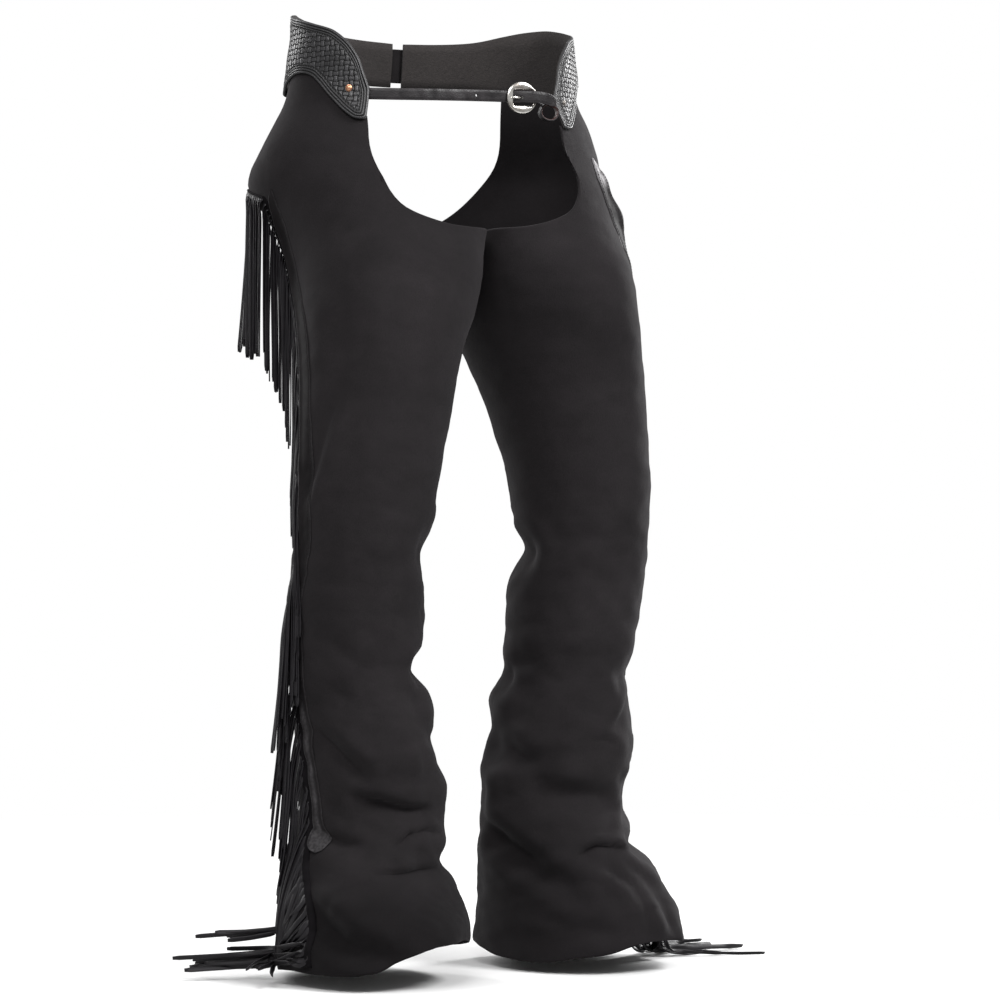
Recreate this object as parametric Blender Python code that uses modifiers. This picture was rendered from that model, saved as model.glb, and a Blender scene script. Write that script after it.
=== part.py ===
"""Shotgun-style western show chaps, worn, hollow, with the legs apart and the fringe hanging.

Metres, +Z up. The origin is the centre of the waist at the height of the front strap.
The wearer faces -Y, so the wearer's right side is -X. Angles round a leg are in degrees:
0 is the front, 90 the outer side, 180 the back and -90 the inner side.
"""
import math

import bmesh
import bpy
from mathutils import Matrix, Vector

# ---------------------------------------------------------------- driving sizes
SUEDE = 0.0020            # leg panel thickness
TRIM = 0.0016             # smooth leather strip
YOKE_T = 0.0032           # tooled yoke thickness
STRAP_T = 0.0022          # front strap thickness
STRAP_W = 0.0125          # front strap width
GAP = 0.0006              # clearance between layers
YOKE_LIFT = 0.0034        # the yoke's inner face, out from the hips
FLOOR = -0.935            # the surface the lowest fringe lies on
STRIP_L = 0.175           # length of a fringe strip
HIP = 0.633               # degrees round the hips for each degree round a thigh

# ---------------------------------------------------------------- sections
# a leg's rings: height, centre outwards, centre in y, half width, half depth, toe-out (degrees)
LEG = [
    # z,     cx,    cy,     rx,    ry,    toe
    (-0.100, .0820, -.0220, .1000, .1360, 6),
    (-0.133, .0860, -.0300, .1000, .1350, 7),
    (-0.176, .0940, -.0480, .0985, .1290, 9),
    (-0.218, .1040, -.0620, .0935, .1190, 11),
    (-0.261, .1150, -.0690, .0855, .1080, 12),
    (-0.320, .1265, -.0795, .0800, .0925, 12),
    (-0.380, .1350, -.0833, .0770, .0830, 12),
    (-0.431, .1420, -.0827, .0735, .0760, 12),
    (-0.479, .1450, -.0812, .0695, .0715, 12),
    (-0.530, .1425, -.0700, .0700, .0740, 12),
    (-0.572, .1385, -.0658, .0690, .0728, 12),
    (-0.608, .1375, -.0600, .0685, .0725, 12),
    (-0.660, .1310, -.0614, .0705, .0795, 12),
    (-0.694, .1265, -.0628, .0722, .0850, 12),
    (-0.730, .1200, -.0631, .0775, .0805, 12),
    (-0.768, .1200, -.0631, .0778, .0785, 12),
    (-0.815, .1290, -.0665, .0845, .1000, 12),
    (-0.865, .1340, -.0840, .0925, .1205, 12),
    (-0.935, .1355, -.0890, .0970, .1280, 12),
]
# the hips' rings: height, half width, half depth
PELVIS = [
    # z,    A,     B
    (-.14, .2080, .1520),
    (-.09, .2070, .1490),
    (-.04, .1960, .1395),
    (.000, .1805, .1252),
    (.022, .1752, .1196),
    (.105, .1665, .1090),
]
# angle of the outer seam down each leg
SEAM = {
    -1: [(-.085, 100), (-.111, 107), (-.140, 112), (-.170, 114), (-.215, 109), (-.260, 103), (-.330, 101),
         (-.400, 99), (-.445, 98), (-.500, 102), (-.540, 106), (-.575, 105), (-.610, 99), (-.660, 96),
         (-.700, 94), (-.740, 88), (-.780, 84), (-.850, 79), (-.935, 77)],
    1: [(-.070, 38), (-.100, 42), (-.130, 50), (-.160, 60), (-.200, 71), (-.260, 82), (-.350, 90),
        (-.450, 95), (-.600, 97), (-.750, 91), (-.935, 88)],
}
# the panel's top edge, from the front tip of the yoke round the inside of the thigh to the yoke's back corner:
# angle at the top, height of the edge, angle that the same thread has reached 10 cm lower, columns to the next row
EDGE = {
    -1: [
        # top,    z,     low,  columns
        (25.2, None, 29.0, 1),
        (23.5, -.032, 25.0, 1),
        (22.8, -.062, 20.5, 1),
        (20.4, -.090, 15.0, 1),
        (14.0, -.114, 8.0, 1),
        (2.0, -.127, -2.0, 1),
        (-14.0, -.134, -16.0, 2),
        (-50.0, -.134, -50.0, 2),
        (-90.0, -.135, -90.0, 2),
        (-130.0, -.132, -130.0, 1),
        (-150.0, -.122, -150.0, 1),
        (-166.0, -.100, -164.0, 1),
        (-176.0, -.066, -174.0, 1),
        (-181.5, -.030, -181.0, 1),
        (-184.5, .006, -185.0, 1),
        (-186.0, None, -188.0, 0),
    ],
    1: [
        (-7.5, None, -2.0, 1),
        (-10.5, -.036, -7.0, 1),
        (-9.3, -.064, -12.0, 1),
        (-14.0, -.090, -17.5, 1),
        (-23.5, -.110, -24.0, 1),
        (-36.0, -.122, -34.0, 1),
        (-52.0, -.130, -50.0, 1),
        (-70.0, -.132, -70.0, 1),
        (-90.0, -.135, -90.0, 2),
        (-130.0, -.133, -130.0, 1),
        (-150.0, -.128, -150.0, 1),
        (-170.0, -.118, -168.0, 1),
        (-188.0, -.098, -186.0, 1),
        (-201.0, -.064, -199.0, 1),
        (-208.5, -.030, -206.5, 1),
        (-212.0, .006, -211.0, 1),
        (-214.0, None, -215.0, 0),
    ],
}
# columns from the seam to the yoke's front tip, and from the yoke's back corner to the seam
OUTER = {-1: (8, 5), 1: (4, 8)}

# the yoke, measured round the hips from its front tip: degrees, lower edge, upper edge
TIP = {-1: 49.0, 1: 28.5}
YOKE = [
    # deg,  low,    high
    (0.0, -.0200, .0135),
    (2.0, -.0205, .0260),
    (5.0, -.0190, .0460),
    (9.0, -.0120, .0610),
    (13.0, -.0035, .0700),
    (18.0, .0075, .0775),
    (23.0, .0195, .0815),
    (28.0, .0285, .0845),
    (34.0, .0325, .0880),
    (41.0, .0325, .0915),
    (50.0, .0285, .0950),
    (60.0, .0215, .0995),
    (72.0, .0150, .1035),
    (84.0, .0190, .1030),
    (96.0, .0290, .0990),
    (110.0, .0370, .0925),
    (124.0, .0395, .0900),
    (139.0, .0400, .0885),
]

# heights of the panel's rows between the seat and the hem
LEVELS = [-.205, -.250, -.300, -.350, -.400, -.445, -.477, -.510, -.550, -.580, -.604, -.630,
          -.658, -.685, -.712, -.737, -.760, -.784, -.808, -.832, -.862, -.896, -.930]
# height of the hem round each leg
HEM = {
    -1: [(-180, -.924), (-125, -.912), (-90, -.903), (-50, -.893), (-30, -.887), (-5, -.888), (12, -.896),
         (24, -.905), (37, -.915), (65, -.918), (92, -.920), (130, -.924), (180, -.924)],
    1: [(-180, -.922), (-125, -.913), (-91, -.921), (-62, -.925), (-45, -.918), (-26, -.911), (-9, -.903),
        (20, -.902), (45, -.905), (90, -.914), (130, -.921), (180, -.922)],
}
# the largest folds: from angle and height to angle and height, depth (+ in, - out), half width
FOLDS = {
    -1: [
        # a0,   z0,     a1,   z1,    depth,  width
        (-95, -.486, -35, -.474, .0065, .020),
        (-100, -.607, -30, -.603, .0120, .013),
        (-85, -.640, -35, -.648, -.0060, .014),
        (-75, -.872, -20, -.880, -.0040, .022),
        (75, -.668, 42, -.716, .0065, .011),
        (-85, -.676, -35, -.672, .0040, .013),
        (44, -.739, -8, -.755, .0085, .010),
        (74, -.778, 38, -.800, .0070, .010),
        (-95, -.812, -5, -.806, .0085, .012),
        (40, -.828, -5, -.828, .0045, .010),
        (70, -.872, 30, -.900, .0090, .015),
        (-85, -.745, -35, -.735, -.0030, .016),
        (140, -.500, 215, -.486, .0080, .016),
        (150, -.590, 230, -.606, .0090, .014),
        (135, -.715, 205, -.690, .0070, .013),
        (150, -.790, 235, -.812, .0080, .013),
        (160, -.860, 215, -.846, .0060, .014),
    ],
    1: [
        (-175, -.478, -95, -.484, .0115, .018),
        (-165, -.612, -100, -.620, .0065, .014),
        (-150, -.645, -95, -.652, -.0050, .016),
        (-100, -.700, -50, -.716, .0085, .016),
        (20, -.618, 80, -.612, .0055, .014),
        (-75, -.744, 5, -.748, .0060, .014),
        (-90, -.797, -44, -.842, .0090, .014),
        (-20, -.812, 4, -.812, .0080, .009),
        (25, -.806, 85, -.800, .0130, .012),
        (10, -.832, 24, -.880, .0060, .011),
        (-8, -.842, 8, -.884, -.0040, .010),
        (-45, -.820, -22, -.866, -.0035, .012),
        (-160, -.735, -110, -.745, .0045, .014),
        (130, -.520, 205, -.500, .0080, .016),
        (120, -.640, 200, -.655, .0075, .013),
        (115, -.735, 190, -.715, .0070, .013),
        (130, -.800, 215, -.828, .0080, .013),
    ],
}
# the fringe's reach: height, how far it stands out from the seam, lean towards the back (degrees)
REACH = {
    -1: [(-.092, .010, 12), (-.125, .026, 14), (-.165, .040, 14), (-.210, .050, 14), (-.262, .056, 14), (-.285, .036, 20),
         (-.320, .018, 30), (-.375, .010, 42), (-.430, .008, 52), (-.480, .008, 54), (-.540, .009, 52), (-.600, .012, 48),
         (-.660, .016, 44), (-.715, .020, 40), (-.770, .023, 36), (-.830, .024, 34), (-.880, .025, 34), (-.912, .025, 34)],
    1: [(-.080, .010, 20), (-.115, .016, 55), (-.155, .022, 70), (-.205, .028, 72), (-.250, .030, 70), (-.285, .024, 64),
        (-.320, .018, 58), (-.375, .010, 55), (-.430, .008, 55), (-.480, .008, 54), (-.540, .009, 52), (-.600, .012, 48),
        (-.660, .016, 44), (-.715, .020, 40), (-.770, .023, 36), (-.830, .024, 34), (-.880, .025, 34), (-.912, .025, 34)],
}
FRINGE_T = 0.007          # thickness of the hanging bundle
# outline of the fringe that lies on the floor, outwards from x = 0 and in y
FLOOR_FAN = {
    -1: [(.243, -.060), (.270, -.074), (.300, -.060), (.310, -.010), (.310, .040), (.286, .052), (.258, .048),
         (.238, .034), (.236, .010)],
    1: [(.244, -.080), (.270, -.104), (.330, -.128), (.372, -.120), (.380, -.070), (.352, -.010), (.312, .030),
        (.280, .022), (.250, .004), (.243, -.030)],
}

# smooth strip over the zip: fraction of the way down, half width (0 is its point)
PLACKET_TOP = {-1: -.092, 1: -.062}
PLACKET_LOW = -.798
PLACKET_W = .0215

# front strap's route: degrees from the front centre (+ to the wearer's right), height, distance out from the hips
STRAP = [
    # deg,   z,     out
    (59.5, .0085, -.0014),
    (50.0, .0078, -.0012),
    (40.0, .0072, .0000),
    (26.0, .0074, .0000),
    (12.0, .0082, .0000),
    (0.0, .0092, .0000),
]
# and through the buckle, in the buckle's own frame: along it, out of it, height
THREADED = [
    # x,      out,    z
    (-.0172, -.0005, .0094),
    (-.0130, -.0005, .0093),
    (-.0093, .0001, .0092),
    (-.0037, .0028, .0092),
    (.0025, .0060, .0092),
    (.0087, .0084, .0091),
    (.0140, .0093, .0089),
    (.0190, .0094, .0085),
    (.0240, .0088, .0078),
    (.0290, .0074, .0068),
    (.0340, .0050, .0054),
    (.0385, .0018, .0038),
]
# strap from the left yoke to the buckle's bar: degrees, height, distance out
CHAPE = [
    (-38.0, .0085, -.0006),
    (-33.5, .0085, -.0004),
    (-29.8, .0085, .0002),
]
BUCKLE_AT = -9.1          # degrees of the buckle's centre
BUCKLE_TURN = 22.0        # degrees that the buckle is turned towards the wearer's right by the strap's pull
BUCKLE_Z = .0082
BUCKLE_R = .0172
BUCKLE_T = .0024
BUCKLE_LIFT = .0070       # the buckle's centre, out from the hips
BUCKLE_OUT = .0026        # the buckle's back face, out from its centre's plane
WINDOW = (-.0098, .0133, .0086)   # window's left and right edges and its half height
BAR_OFF = .0153           # centre of the bar, to the wearer's left of the buckle's centre

COLOURS = {
    "suede": ((.018, .017, .018, 1), .95, 0.0),
    "smooth_leather": ((.024, .023, .025, 1), .50, 0.0),
    "fringe_leather": ((.016, .016, .018, 1), .55, 0.0),
    "tooled_leather": ((.022, .022, .024, 1), .40, 0.0),
    "strap_leather": ((.030, .026, .028, 1), .45, 0.0),
    "nickel_silver": ((.62, .60, .57, 1), .25, 1.0),
    "copper": ((.60, .30, .16, 1), .35, 1.0),
}


# ---------------------------------------------------------------- scene and materials
for old in list(bpy.data.objects):
    bpy.data.objects.remove(old, do_unlink=True)

PARTS = bpy.data.collections.new("leather_chaps")
bpy.context.scene.collection.children.link(PARTS)
CUTTERS = bpy.data.collections.new("cutters")
bpy.context.scene.collection.children.link(CUTTERS)


def material(name):
    if name in bpy.data.materials:
        return bpy.data.materials[name]
    colour, rough, metal = COLOURS[name]
    mat = bpy.data.materials.new(name)
    mat.use_nodes = True
    bsdf = mat.node_tree.nodes["Principled BSDF"]
    bsdf.inputs["Base Color"].default_value = colour
    bsdf.inputs["Roughness"].default_value = rough
    bsdf.inputs["Metallic"].default_value = metal
    return mat


def adopt(obj, name, mat, collection=None):
    """Names an object, gives it its material and puts it in the parts' collection."""
    obj.name = name
    obj.data.name = name
    for c in list(obj.users_collection):
        c.objects.unlink(obj)
    (collection or PARTS).objects.link(obj)
    if mat:
        obj.data.materials.clear()
        obj.data.materials.append(material(mat))
    return obj


# ---------------------------------------------------------------- curves through the tables
def table(rows, x, column):
    """Smooth curve through a table's column, for rows in rising or falling order of column 0."""
    a = rows if rows[0][0] < rows[-1][0] else rows[::-1]
    if x <= a[0][0]:
        return a[0][column]
    if x >= a[-1][0]:
        return a[-1][column]
    i = 0
    while not a[i][0] <= x <= a[i + 1][0]:
        i += 1

    def slope(k):
        lo, hi = max(0, k - 1), min(len(a) - 1, k + 1)
        return (a[hi][column] - a[lo][column]) / (a[hi][0] - a[lo][0])

    h = a[i + 1][0] - a[i][0]
    t = (x - a[i][0]) / h
    return ((2 * t ** 3 - 3 * t * t + 1) * a[i][column] + (t ** 3 - 2 * t * t + t) * h * slope(i)
            + (3 * t * t - 2 * t ** 3) * a[i + 1][column] + (t ** 3 - t * t) * h * slope(i + 1))


def ease(a, b, x):
    t = min(1.0, max(0.0, (x - a) / (b - a)))
    return t * t * (3 - 2 * t)


def hips(deg, z, out=0.0):
    """Point on the hips, deg from the front centre towards the side, out along the ring's normal."""
    b = math.radians(deg)
    A, B = table(PELVIS, z, 1), table(PELVIS, z, 2)
    n = Vector((math.sin(b) / A, -math.cos(b) / B))
    n.normalize()
    return Vector((A * math.sin(b) + n.x * out, -B * math.cos(b) + n.y * out, z))


def fold_depth(side, phi, z):
    """Sum of the folds at an angle and height; a fold is a soft trough along a line on the leg."""
    total = 0.0
    for a0, z0, a1, z1, depth, width in FOLDS[side]:
        best = 1e9
        for turn in (-360, 0, 360):
            px, pz = (phi + turn - a0) * .0014, z - z0
            lx, lz = (a1 - a0) * .0014, z1 - z0
            t = max(0.0, min(1.0, (px * lx + pz * lz) / (lx * lx + lz * lz)))
            best = min(best, math.hypot(px - t * lx, pz - t * lz))
        d = best / width
        total += depth * (math.exp(-d * d) - .30 * math.exp(-((d - 1.9) / .8) ** 2))
    return total


def leg_point(side, phi, z, folds=True):
    """Point on the inside face of a leg panel."""
    phi = (phi + 180) % 360 - 180 if phi < -240 or phi > 240 else phi
    wrapped = phi + 360 if phi < -118 else phi
    w = ease(-.175, -.03, z)
    p = math.radians(phi)
    cx, cy, rx, ry, toe = (table(LEG, z, k) for k in (1, 2, 3, 4, 5))
    t = math.radians(toe)
    o, f = rx * math.sin(p - t), ry * math.cos(p - t)
    x = cx + o * math.cos(t) + f * math.sin(t)
    y = cy - f * math.cos(t) + o * math.sin(t)
    if w > 0:
        b = math.radians(90 + (wrapped - 90) * HIP)
        x = (1 - w) * x + w * table(PELVIS, z, 1) * math.sin(b)
        y = (1 - w) * y - w * table(PELVIS, z, 2) * math.cos(b)
    seat = (.016 if side < 0 else .012) * math.exp(-((wrapped - 128) / 40) ** 2) * math.exp(-((z + .068) / .042) ** 2)
    x += seat * math.sin(p)
    y -= seat * math.cos(p)
    if folds:
        d = fold_depth(side, phi, z) * ease(-.38, -.45, z)
        x -= d * math.sin(p)
        y += d * math.cos(p)
    near = 1 - ease(-.10, -.05, z)     # the inner side stays clear of the other leg
    keep, soft = .0048, .010
    x += near * .5 * (keep - x + math.sqrt((x - keep) ** 2 + soft * soft))
    return Vector((side * x, y, z))


def yoke_low(side, deg):
    return table(YOKE, deg - TIP[side], 1)


def yoke_high(side, deg):
    return table(YOKE, deg - TIP[side], 2)


def under_yoke(side, deg):
    """How far the panel reaches up behind the yoke; less at the tip, where the strap goes in."""
    return .003 + .009 * ease(10, 18, deg - TIP[side])


def turn_of(side, z):
    """How far the outer seam has swung from where it starts at the hip."""
    return table(SEAM[side], z, 1) - SEAM[side][0][1]


def stations(side):
    """The panel's columns, from the outer seam round the front and the inside to the seam again."""
    seam = SEAM[side][0][1]
    edge = EDGE[side]
    n_front, n_back = OUTER[side]
    cols = []
    for k in range(n_front):
        t = k / n_front
        if k == 1:
            t = 12.0 / (seam - edge[0][0])
        a = seam + (edge[0][0] - seam) * t
        cols.append((a, None, a + (edge[0][2] - edge[0][0]) * t))
    for r, nxt in zip(edge, edge[1:] + [None]):
        n = r[3]
        for k in range(max(1, n)):
            if nxt is None or k == 0:
                cols.append((r[0], r[1], r[2]))
            else:
                t = k / n
                cols.append((r[0] + t * (nxt[0] - r[0]), r[1] + t * (nxt[1] - r[1]), r[2] + t * (nxt[2] - r[2])))
    last = edge[-1]
    for k in range(1, n_back + 1):
        t = k / n_back
        a = last[0] + (seam - 360 - last[0]) * t
        cols.append((a, None, a + (last[2] - last[0]) * (1 - t)))
    return cols


def hip_angle(phi):
    """Angle round the hips for an angle round the thigh, counted from the front over the outer side."""
    return 90 + ((phi + 360 if phi < -118 else phi) - 90) * HIP


def panel_rows(side, col):
    """Heights down one column: hem allowance under the yoke, its lower edge, then the levels."""
    top, z_edge, low = col
    if z_edge is None:
        line = yoke_low(side, hip_angle(top))
        first = [line + under_yoke(side, hip_angle(top)), line]
    else:
        first = [z_edge, z_edge - .012]
    rest = [first[1] + (LEVELS[0] - first[1]) * f for f in (.22, .42, .62, .81)]
    return first + rest + LEVELS


def panel_angle(side, col, index, z):
    """Angle of a column at a height; column 1 keeps the strip's width from the seam."""
    top, z_edge, low = col
    seam = SEAM[side][0][1]
    start = yoke_low(side, hip_angle(top)) if z_edge is None else z_edge
    a = top + (low - top) * ease(start, start - .10, z)
    off = math.radians(seam - top)
    swing = turn_of(side, z)
    a += swing * .5 * (1 + math.cos(off))
    if index == 1:
        r = .5 * (table(LEG, z, 3) + table(LEG, z, 4))
        r = r + (.108 - r) * ease(-.20, -.12, z)
        a = seam + swing - math.degrees(PLACKET_W / r)
    return a


def hem_z(side, phi, z):
    """Stretches the lowest levels so that the last one follows the hem."""
    start = -.832
    if z >= start:
        return z
    a = (phi + 180) % 360 - 180
    return start + (z - start) * (table(HEM[side], a, 1) - start) / (LEVELS[-1] - start)


# ---------------------------------------------------------------- sheets
def sheet(name, ni, nj, point, thickness, mat, axis, wrap=False, centred=False):
    """A grid moved point by point, then given its thickness outwards.

    point(i, j) gives the grid's points, and axis is the plan point that the sheet wraps round.
    Returns the object and the points and normals by (i, j)."""
    bpy.ops.mesh.primitive_grid_add(x_subdivisions=ni, y_subdivisions=nj, size=2)
    obj = adopt(bpy.context.object, name, mat)
    mesh = obj.data
    where = {}
    for v in mesh.vertices:
        i, j = round((v.co.x + 1) / 2 * ni), round((v.co.y + 1) / 2 * nj)
        v.co = point(i, j)
        where[(i, j)] = v.index
    mesh.update()
    outward = sum(f.area * f.normal.dot(Vector((f.center.x - axis[0], f.center.y - axis[1], 0))) for f in mesh.polygons)
    bm = bmesh.new()
    bm.from_mesh(mesh)
    bm.verts.ensure_lookup_table()
    if outward < 0:
        bmesh.ops.reverse_faces(bm, faces=bm.faces[:])
    kept = dict(where)
    if wrap:
        layer = bm.verts.layers.int.new("at")
        for key, index in where.items():
            bm.verts[index][layer] = index
        pairs = {bm.verts[where[(ni, j)]]: bm.verts[where[(0, j)]] for j in range(nj + 1)}
        bmesh.ops.weld_verts(bm, targetmap=pairs)
        bm.verts.ensure_lookup_table()
        new = {v[layer]: n for n, v in enumerate(bm.verts)}
        for (i, j), index in where.items():
            kept[(i, j)] = new[where[(0, j)]] if i == ni else new[index]
        bm.verts.layers.int.remove(layer)
    bm.to_mesh(mesh)
    bm.free()
    mesh.update()
    grid = {k: (mesh.vertices[n].co.copy(), mesh.vertices[n].normal.copy()) for k, n in kept.items()}
    solid = obj.modifiers.new("thickness", "SOLIDIFY")
    solid.thickness = thickness
    solid.offset = 0.0 if centred else 1.0
    return obj, grid


def between(grid, i0, i1, f, j, out):
    """A point on the straight thread between two columns of a sheet, moved out."""
    (p0, n0), (p1, n1) = grid[(i0, j)], grid[(i1, j)]
    n = (n0 * (1 - f) + n1 * f).normalized()
    return p0 * (1 - f) + p1 * f + n * out


# ---------------------------------------------------------------- leg panels and what lies on them
def build_leg(side):
    word = "right" if side < 0 else "left"
    cols = stations(side)
    ni, nj = len(cols) - 1, len(LEVELS) + 5

    def at(i, j):
        col = cols[i]
        z = panel_rows(side, col)[j]
        phi = panel_angle(side, col, i if i < ni else 0, z)
        if i == ni:
            phi = panel_angle(side, cols[0], 0, z)
        return leg_point(side, phi, hem_z(side, phi, z))

    _, grid = sheet("leg_" + word, ni, nj, at, SUEDE, "suede", (side * .12, -.06), wrap=True)

    # the smooth strip over the zip lies on the first column's faces
    heights = [panel_rows(side, cols[0])[j] for j in range(nj + 1)]
    used = [j for j in range(nj + 1) if PLACKET_LOW - .004 <= heights[j] <= PLACKET_TOP[side]]
    first, last = used[0], used[-1]

    def strip(i, j):
        row = first + j
        share = 1.0
        if row == first:
            share = .12
        elif row == first + 1:
            share = .80
        elif row == last:
            share = .55
        f = .5 + (i - .5) * .97 * share
        return between(grid, 0, 1, f, row, SUEDE + 2 * GAP)

    sheet("placket_" + word, 1, last - first, strip, TRIM, "smooth_leather", (side * .12, -.06))
    return cols, grid


def build_yoke(side, cols, grid):
    """The yoke lies on the panel's top rows and stands free above them and behind the seat."""
    word = "right" if side < 0 else "left"
    n_front, n_back = OUTER[side]
    ni = len(cols) - 1
    tip = n_front
    back = ni - n_back
    # its columns, from the tip over the outer side to the back corner: the panel's own
    own = list(range(tip, -1, -1)) + list(range(ni - 1, back - 1, -1))
    end = TIP[side] + YOKE[-1][0]
    corner = hip_angle(cols[back][0])
    n_free = max(3, round((end - corner) / 7))
    free = [corner + (end - corner) * (k + 1) / n_free for k in range(n_free)]
    lift = YOKE_LIFT

    def at(i, j):
        if i < len(own):
            c = own[i]
            deg = hip_angle(cols[c][0])
            low = grid[(c, 1)][0] + grid[(c, 1)][1] * lift
            second = grid[(c, 0)][0] + grid[(c, 0)][1] * lift
        else:
            deg = free[i - len(own)]
            low = hips(deg, yoke_low(side, deg), lift + .0006)
            second = hips(deg, yoke_low(side, deg) + under_yoke(side, deg), lift + .0006)
            low.x *= side
            second.x *= side
        if j == 0:
            return low
        if j == 1:
            return second
        z0, z1 = yoke_low(side, deg) + under_yoke(side, deg), yoke_high(side, deg)
        p = hips(deg, z0 + (z1 - z0) * (j - 1) / 3, lift)
        p.x *= side
        return p

    sheet("yoke_" + word, len(own) + n_free - 1, 4, at, YOKE_T, "tooled_leather", (0, 0))


def seam_frame(side, z):
    """Point on a panel's outer face just behind the seam, with the directions out and to the back."""
    a = table(SEAM[side], z, 1)
    p0, p1 = leg_point(side, a + 1, z), leg_point(side, a + 13, z)
    back = (p1 - p0)
    back.z = 0
    back.normalize()
    out = Vector((back.y, -back.x, 0))
    if out.dot(p0 - Vector((side * .12, -.06, z))) < 0:
        out = -out
    # stand clear of the panel's faces round this point
    reach = max((leg_point(side, a + d, z + h) - p0).dot(out) for d in (-3, 3, 9, 15) for h in (-.016, 0, .016))
    return p0 + back * .0065 + out * max(0.0, reach), out, back


def build_fringe(side):
    """The reach of the hanging strips: a fin that stands out at the hip and lies back lower down."""
    word = "right" if side < 0 else "left"
    rows = REACH[side]

    def at(i, j):
        z, reach, lean = rows[j]
        base, out, back = seam_frame(side, z)
        t = math.radians(lean)
        way = out * math.cos(t) + back * math.sin(t)
        gap = SUEDE + .0026 + .5 * FRINGE_T * math.sin(t)
        p = base + out * gap + way * reach * i / 3
        return Vector((p.x, p.y, z))

    sheet("fringe_" + word, 3, len(rows) - 1, at, FRINGE_T, "fringe_leather", (0, -5), centred=True)

    # the lowest strips lie on the floor, fanned out
    curve = bpy.data.curves.new("fan", "CURVE")
    curve.dimensions = "2D"
    curve.fill_mode = "BOTH"
    curve.extrude = .0055
    spline = curve.splines.new("POLY")
    outline = FLOOR_FAN[side] if side > 0 else FLOOR_FAN[side][::-1]
    spline.points.add(len(outline) - 1)
    for p, (x, y) in zip(spline.points, outline):
        p.co = (side * x, y, 0, 1)
    spline.use_cyclic_u = True
    fan = bpy.data.objects.new("fan", curve)
    fan.location = (0, 0, FLOOR + .0058)
    adopt(fan, "fringe_floor_" + word, "fringe_leather")


legs = {}
for side in (-1, 1):
    cols, grid = build_leg(side)
    legs[side] = (cols, grid)
    build_yoke(side, cols, grid)
    build_fringe(side)


# ---------------------------------------------------------------- plain tab that joins the yokes behind
TAB_FROM = TIP[-1] + YOKE[-1][0] - 9.0
TAB_TO = 360 - (TIP[1] + YOKE[-1][0]) + 9.0


def tab_point(i, j):
    deg = TAB_FROM + (TAB_TO - TAB_FROM) * i / 6
    z = .0455 + .0375 * j / 2
    p = hips(deg, z, YOKE_LIFT + YOKE_T + .0009)
    p.x = -p.x
    return p


sheet("back_tab", 6, 2, tab_point, .0028, "smooth_leather", (0, 0))


# ---------------------------------------------------------------- front strap, buckle and its strap
def strap_point(deg, z, out, across):
    """Point across a strap; deg is positive towards the wearer's right."""
    p = hips(deg, z, out)
    return Vector((-p.x, p.y, z + across))


def strap_between(rows, t):
    """Route of a strap through points, t from 0 to 1 along them."""
    x = t * (len(rows) - 1)
    keyed = [(k,) + tuple(r) for k, r in enumerate(rows)]
    return Vector(tuple(table(keyed, x, c) for c in (1, 2, 3)))


def buckle_frame():
    """Matrix of the buckle: local x to the wearer's left, y up, z out of the body."""
    a = hips(BUCKLE_AT, BUCKLE_Z)
    b = hips(BUCKLE_AT - 6, BUCKLE_Z)
    c = hips(BUCKLE_AT + 6, BUCKLE_Z)
    left = Vector((-(b.x - c.x), b.y - c.y, 0)).normalized()
    out = left.cross(Vector((0, 0, 1))).normalized()
    centre = Vector((-a.x, a.y, BUCKLE_Z)) + out * BUCKLE_LIFT
    turn = Matrix.Rotation(math.radians(-BUCKLE_TURN), 3, "Z")
    left, out = turn @ left, turn @ out
    m = Matrix.Identity(4)
    for k in range(3):
        m[k][0], m[k][1], m[k][2], m[k][3] = left[k], (0, 0, 1)[k], out[k], centre[k]
    return m


M = buckle_frame()


def at_buckle(x, out, z):
    """A point given in the buckle's frame, at a height."""
    p = M @ Vector((x, 0, out))
    return Vector((p.x, p.y, z))


N_STRAP = 34
ROUTE = [strap_point(*row, 0) for row in STRAP] + [at_buckle(*row) for row in THREADED]


def front_strap(i, j):
    p = strap_between(ROUTE, i / N_STRAP)
    half = STRAP_W / 2
    if i == N_STRAP:
        half *= .55
    return p + Vector((0, 0, half * (j - 1)))


front, _ = sheet("front_strap", N_STRAP, 2, front_strap, STRAP_T, "strap_leather", (0, 0))


def flat_outline(name, outlines, extrude, mat, matrix, bevel=0.0):
    """A flat closed outline, or one with windows, given its thickness, as a mesh."""
    curve = bpy.data.curves.new(name, "CURVE")
    curve.dimensions = "2D"
    curve.fill_mode = "BOTH"
    curve.extrude = extrude
    for outline in outlines:
        spline = curve.splines.new("POLY")
        spline.points.add(len(outline) - 1)
        for p, (x, y) in zip(spline.points, outline):
            p.co = (x, y, 0, 1)
        spline.use_cyclic_u = True
    tmp = bpy.data.objects.new(name, curve)
    bpy.context.scene.collection.objects.link(tmp)
    tmp.matrix_world = matrix
    bpy.context.view_layer.update()
    mesh = bpy.data.meshes.new_from_object(tmp.evaluated_get(bpy.context.evaluated_depsgraph_get()))
    bpy.data.objects.remove(tmp, do_unlink=True)
    bm = bmesh.new()
    bm.from_mesh(mesh)
    bmesh.ops.remove_doubles(bm, verts=bm.verts[:], dist=1e-6)
    bm.to_mesh(mesh)
    bm.free()
    obj = bpy.data.objects.new(name, mesh)
    bpy.context.scene.collection.objects.link(obj)
    obj.matrix_world = matrix
    if bevel:
        b = obj.modifiers.new("rounded", "BEVEL")
        b.width, b.segments, b.limit_method, b.angle_limit = bevel, 2, "ANGLE", math.radians(60)
    return adopt(obj, name, mat)


def ring_outline(r, n, turn=0.0):
    return [(r * math.cos(2 * math.pi * k / n + turn), r * math.sin(2 * math.pi * k / n + turn)) for k in range(n)]


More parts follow.
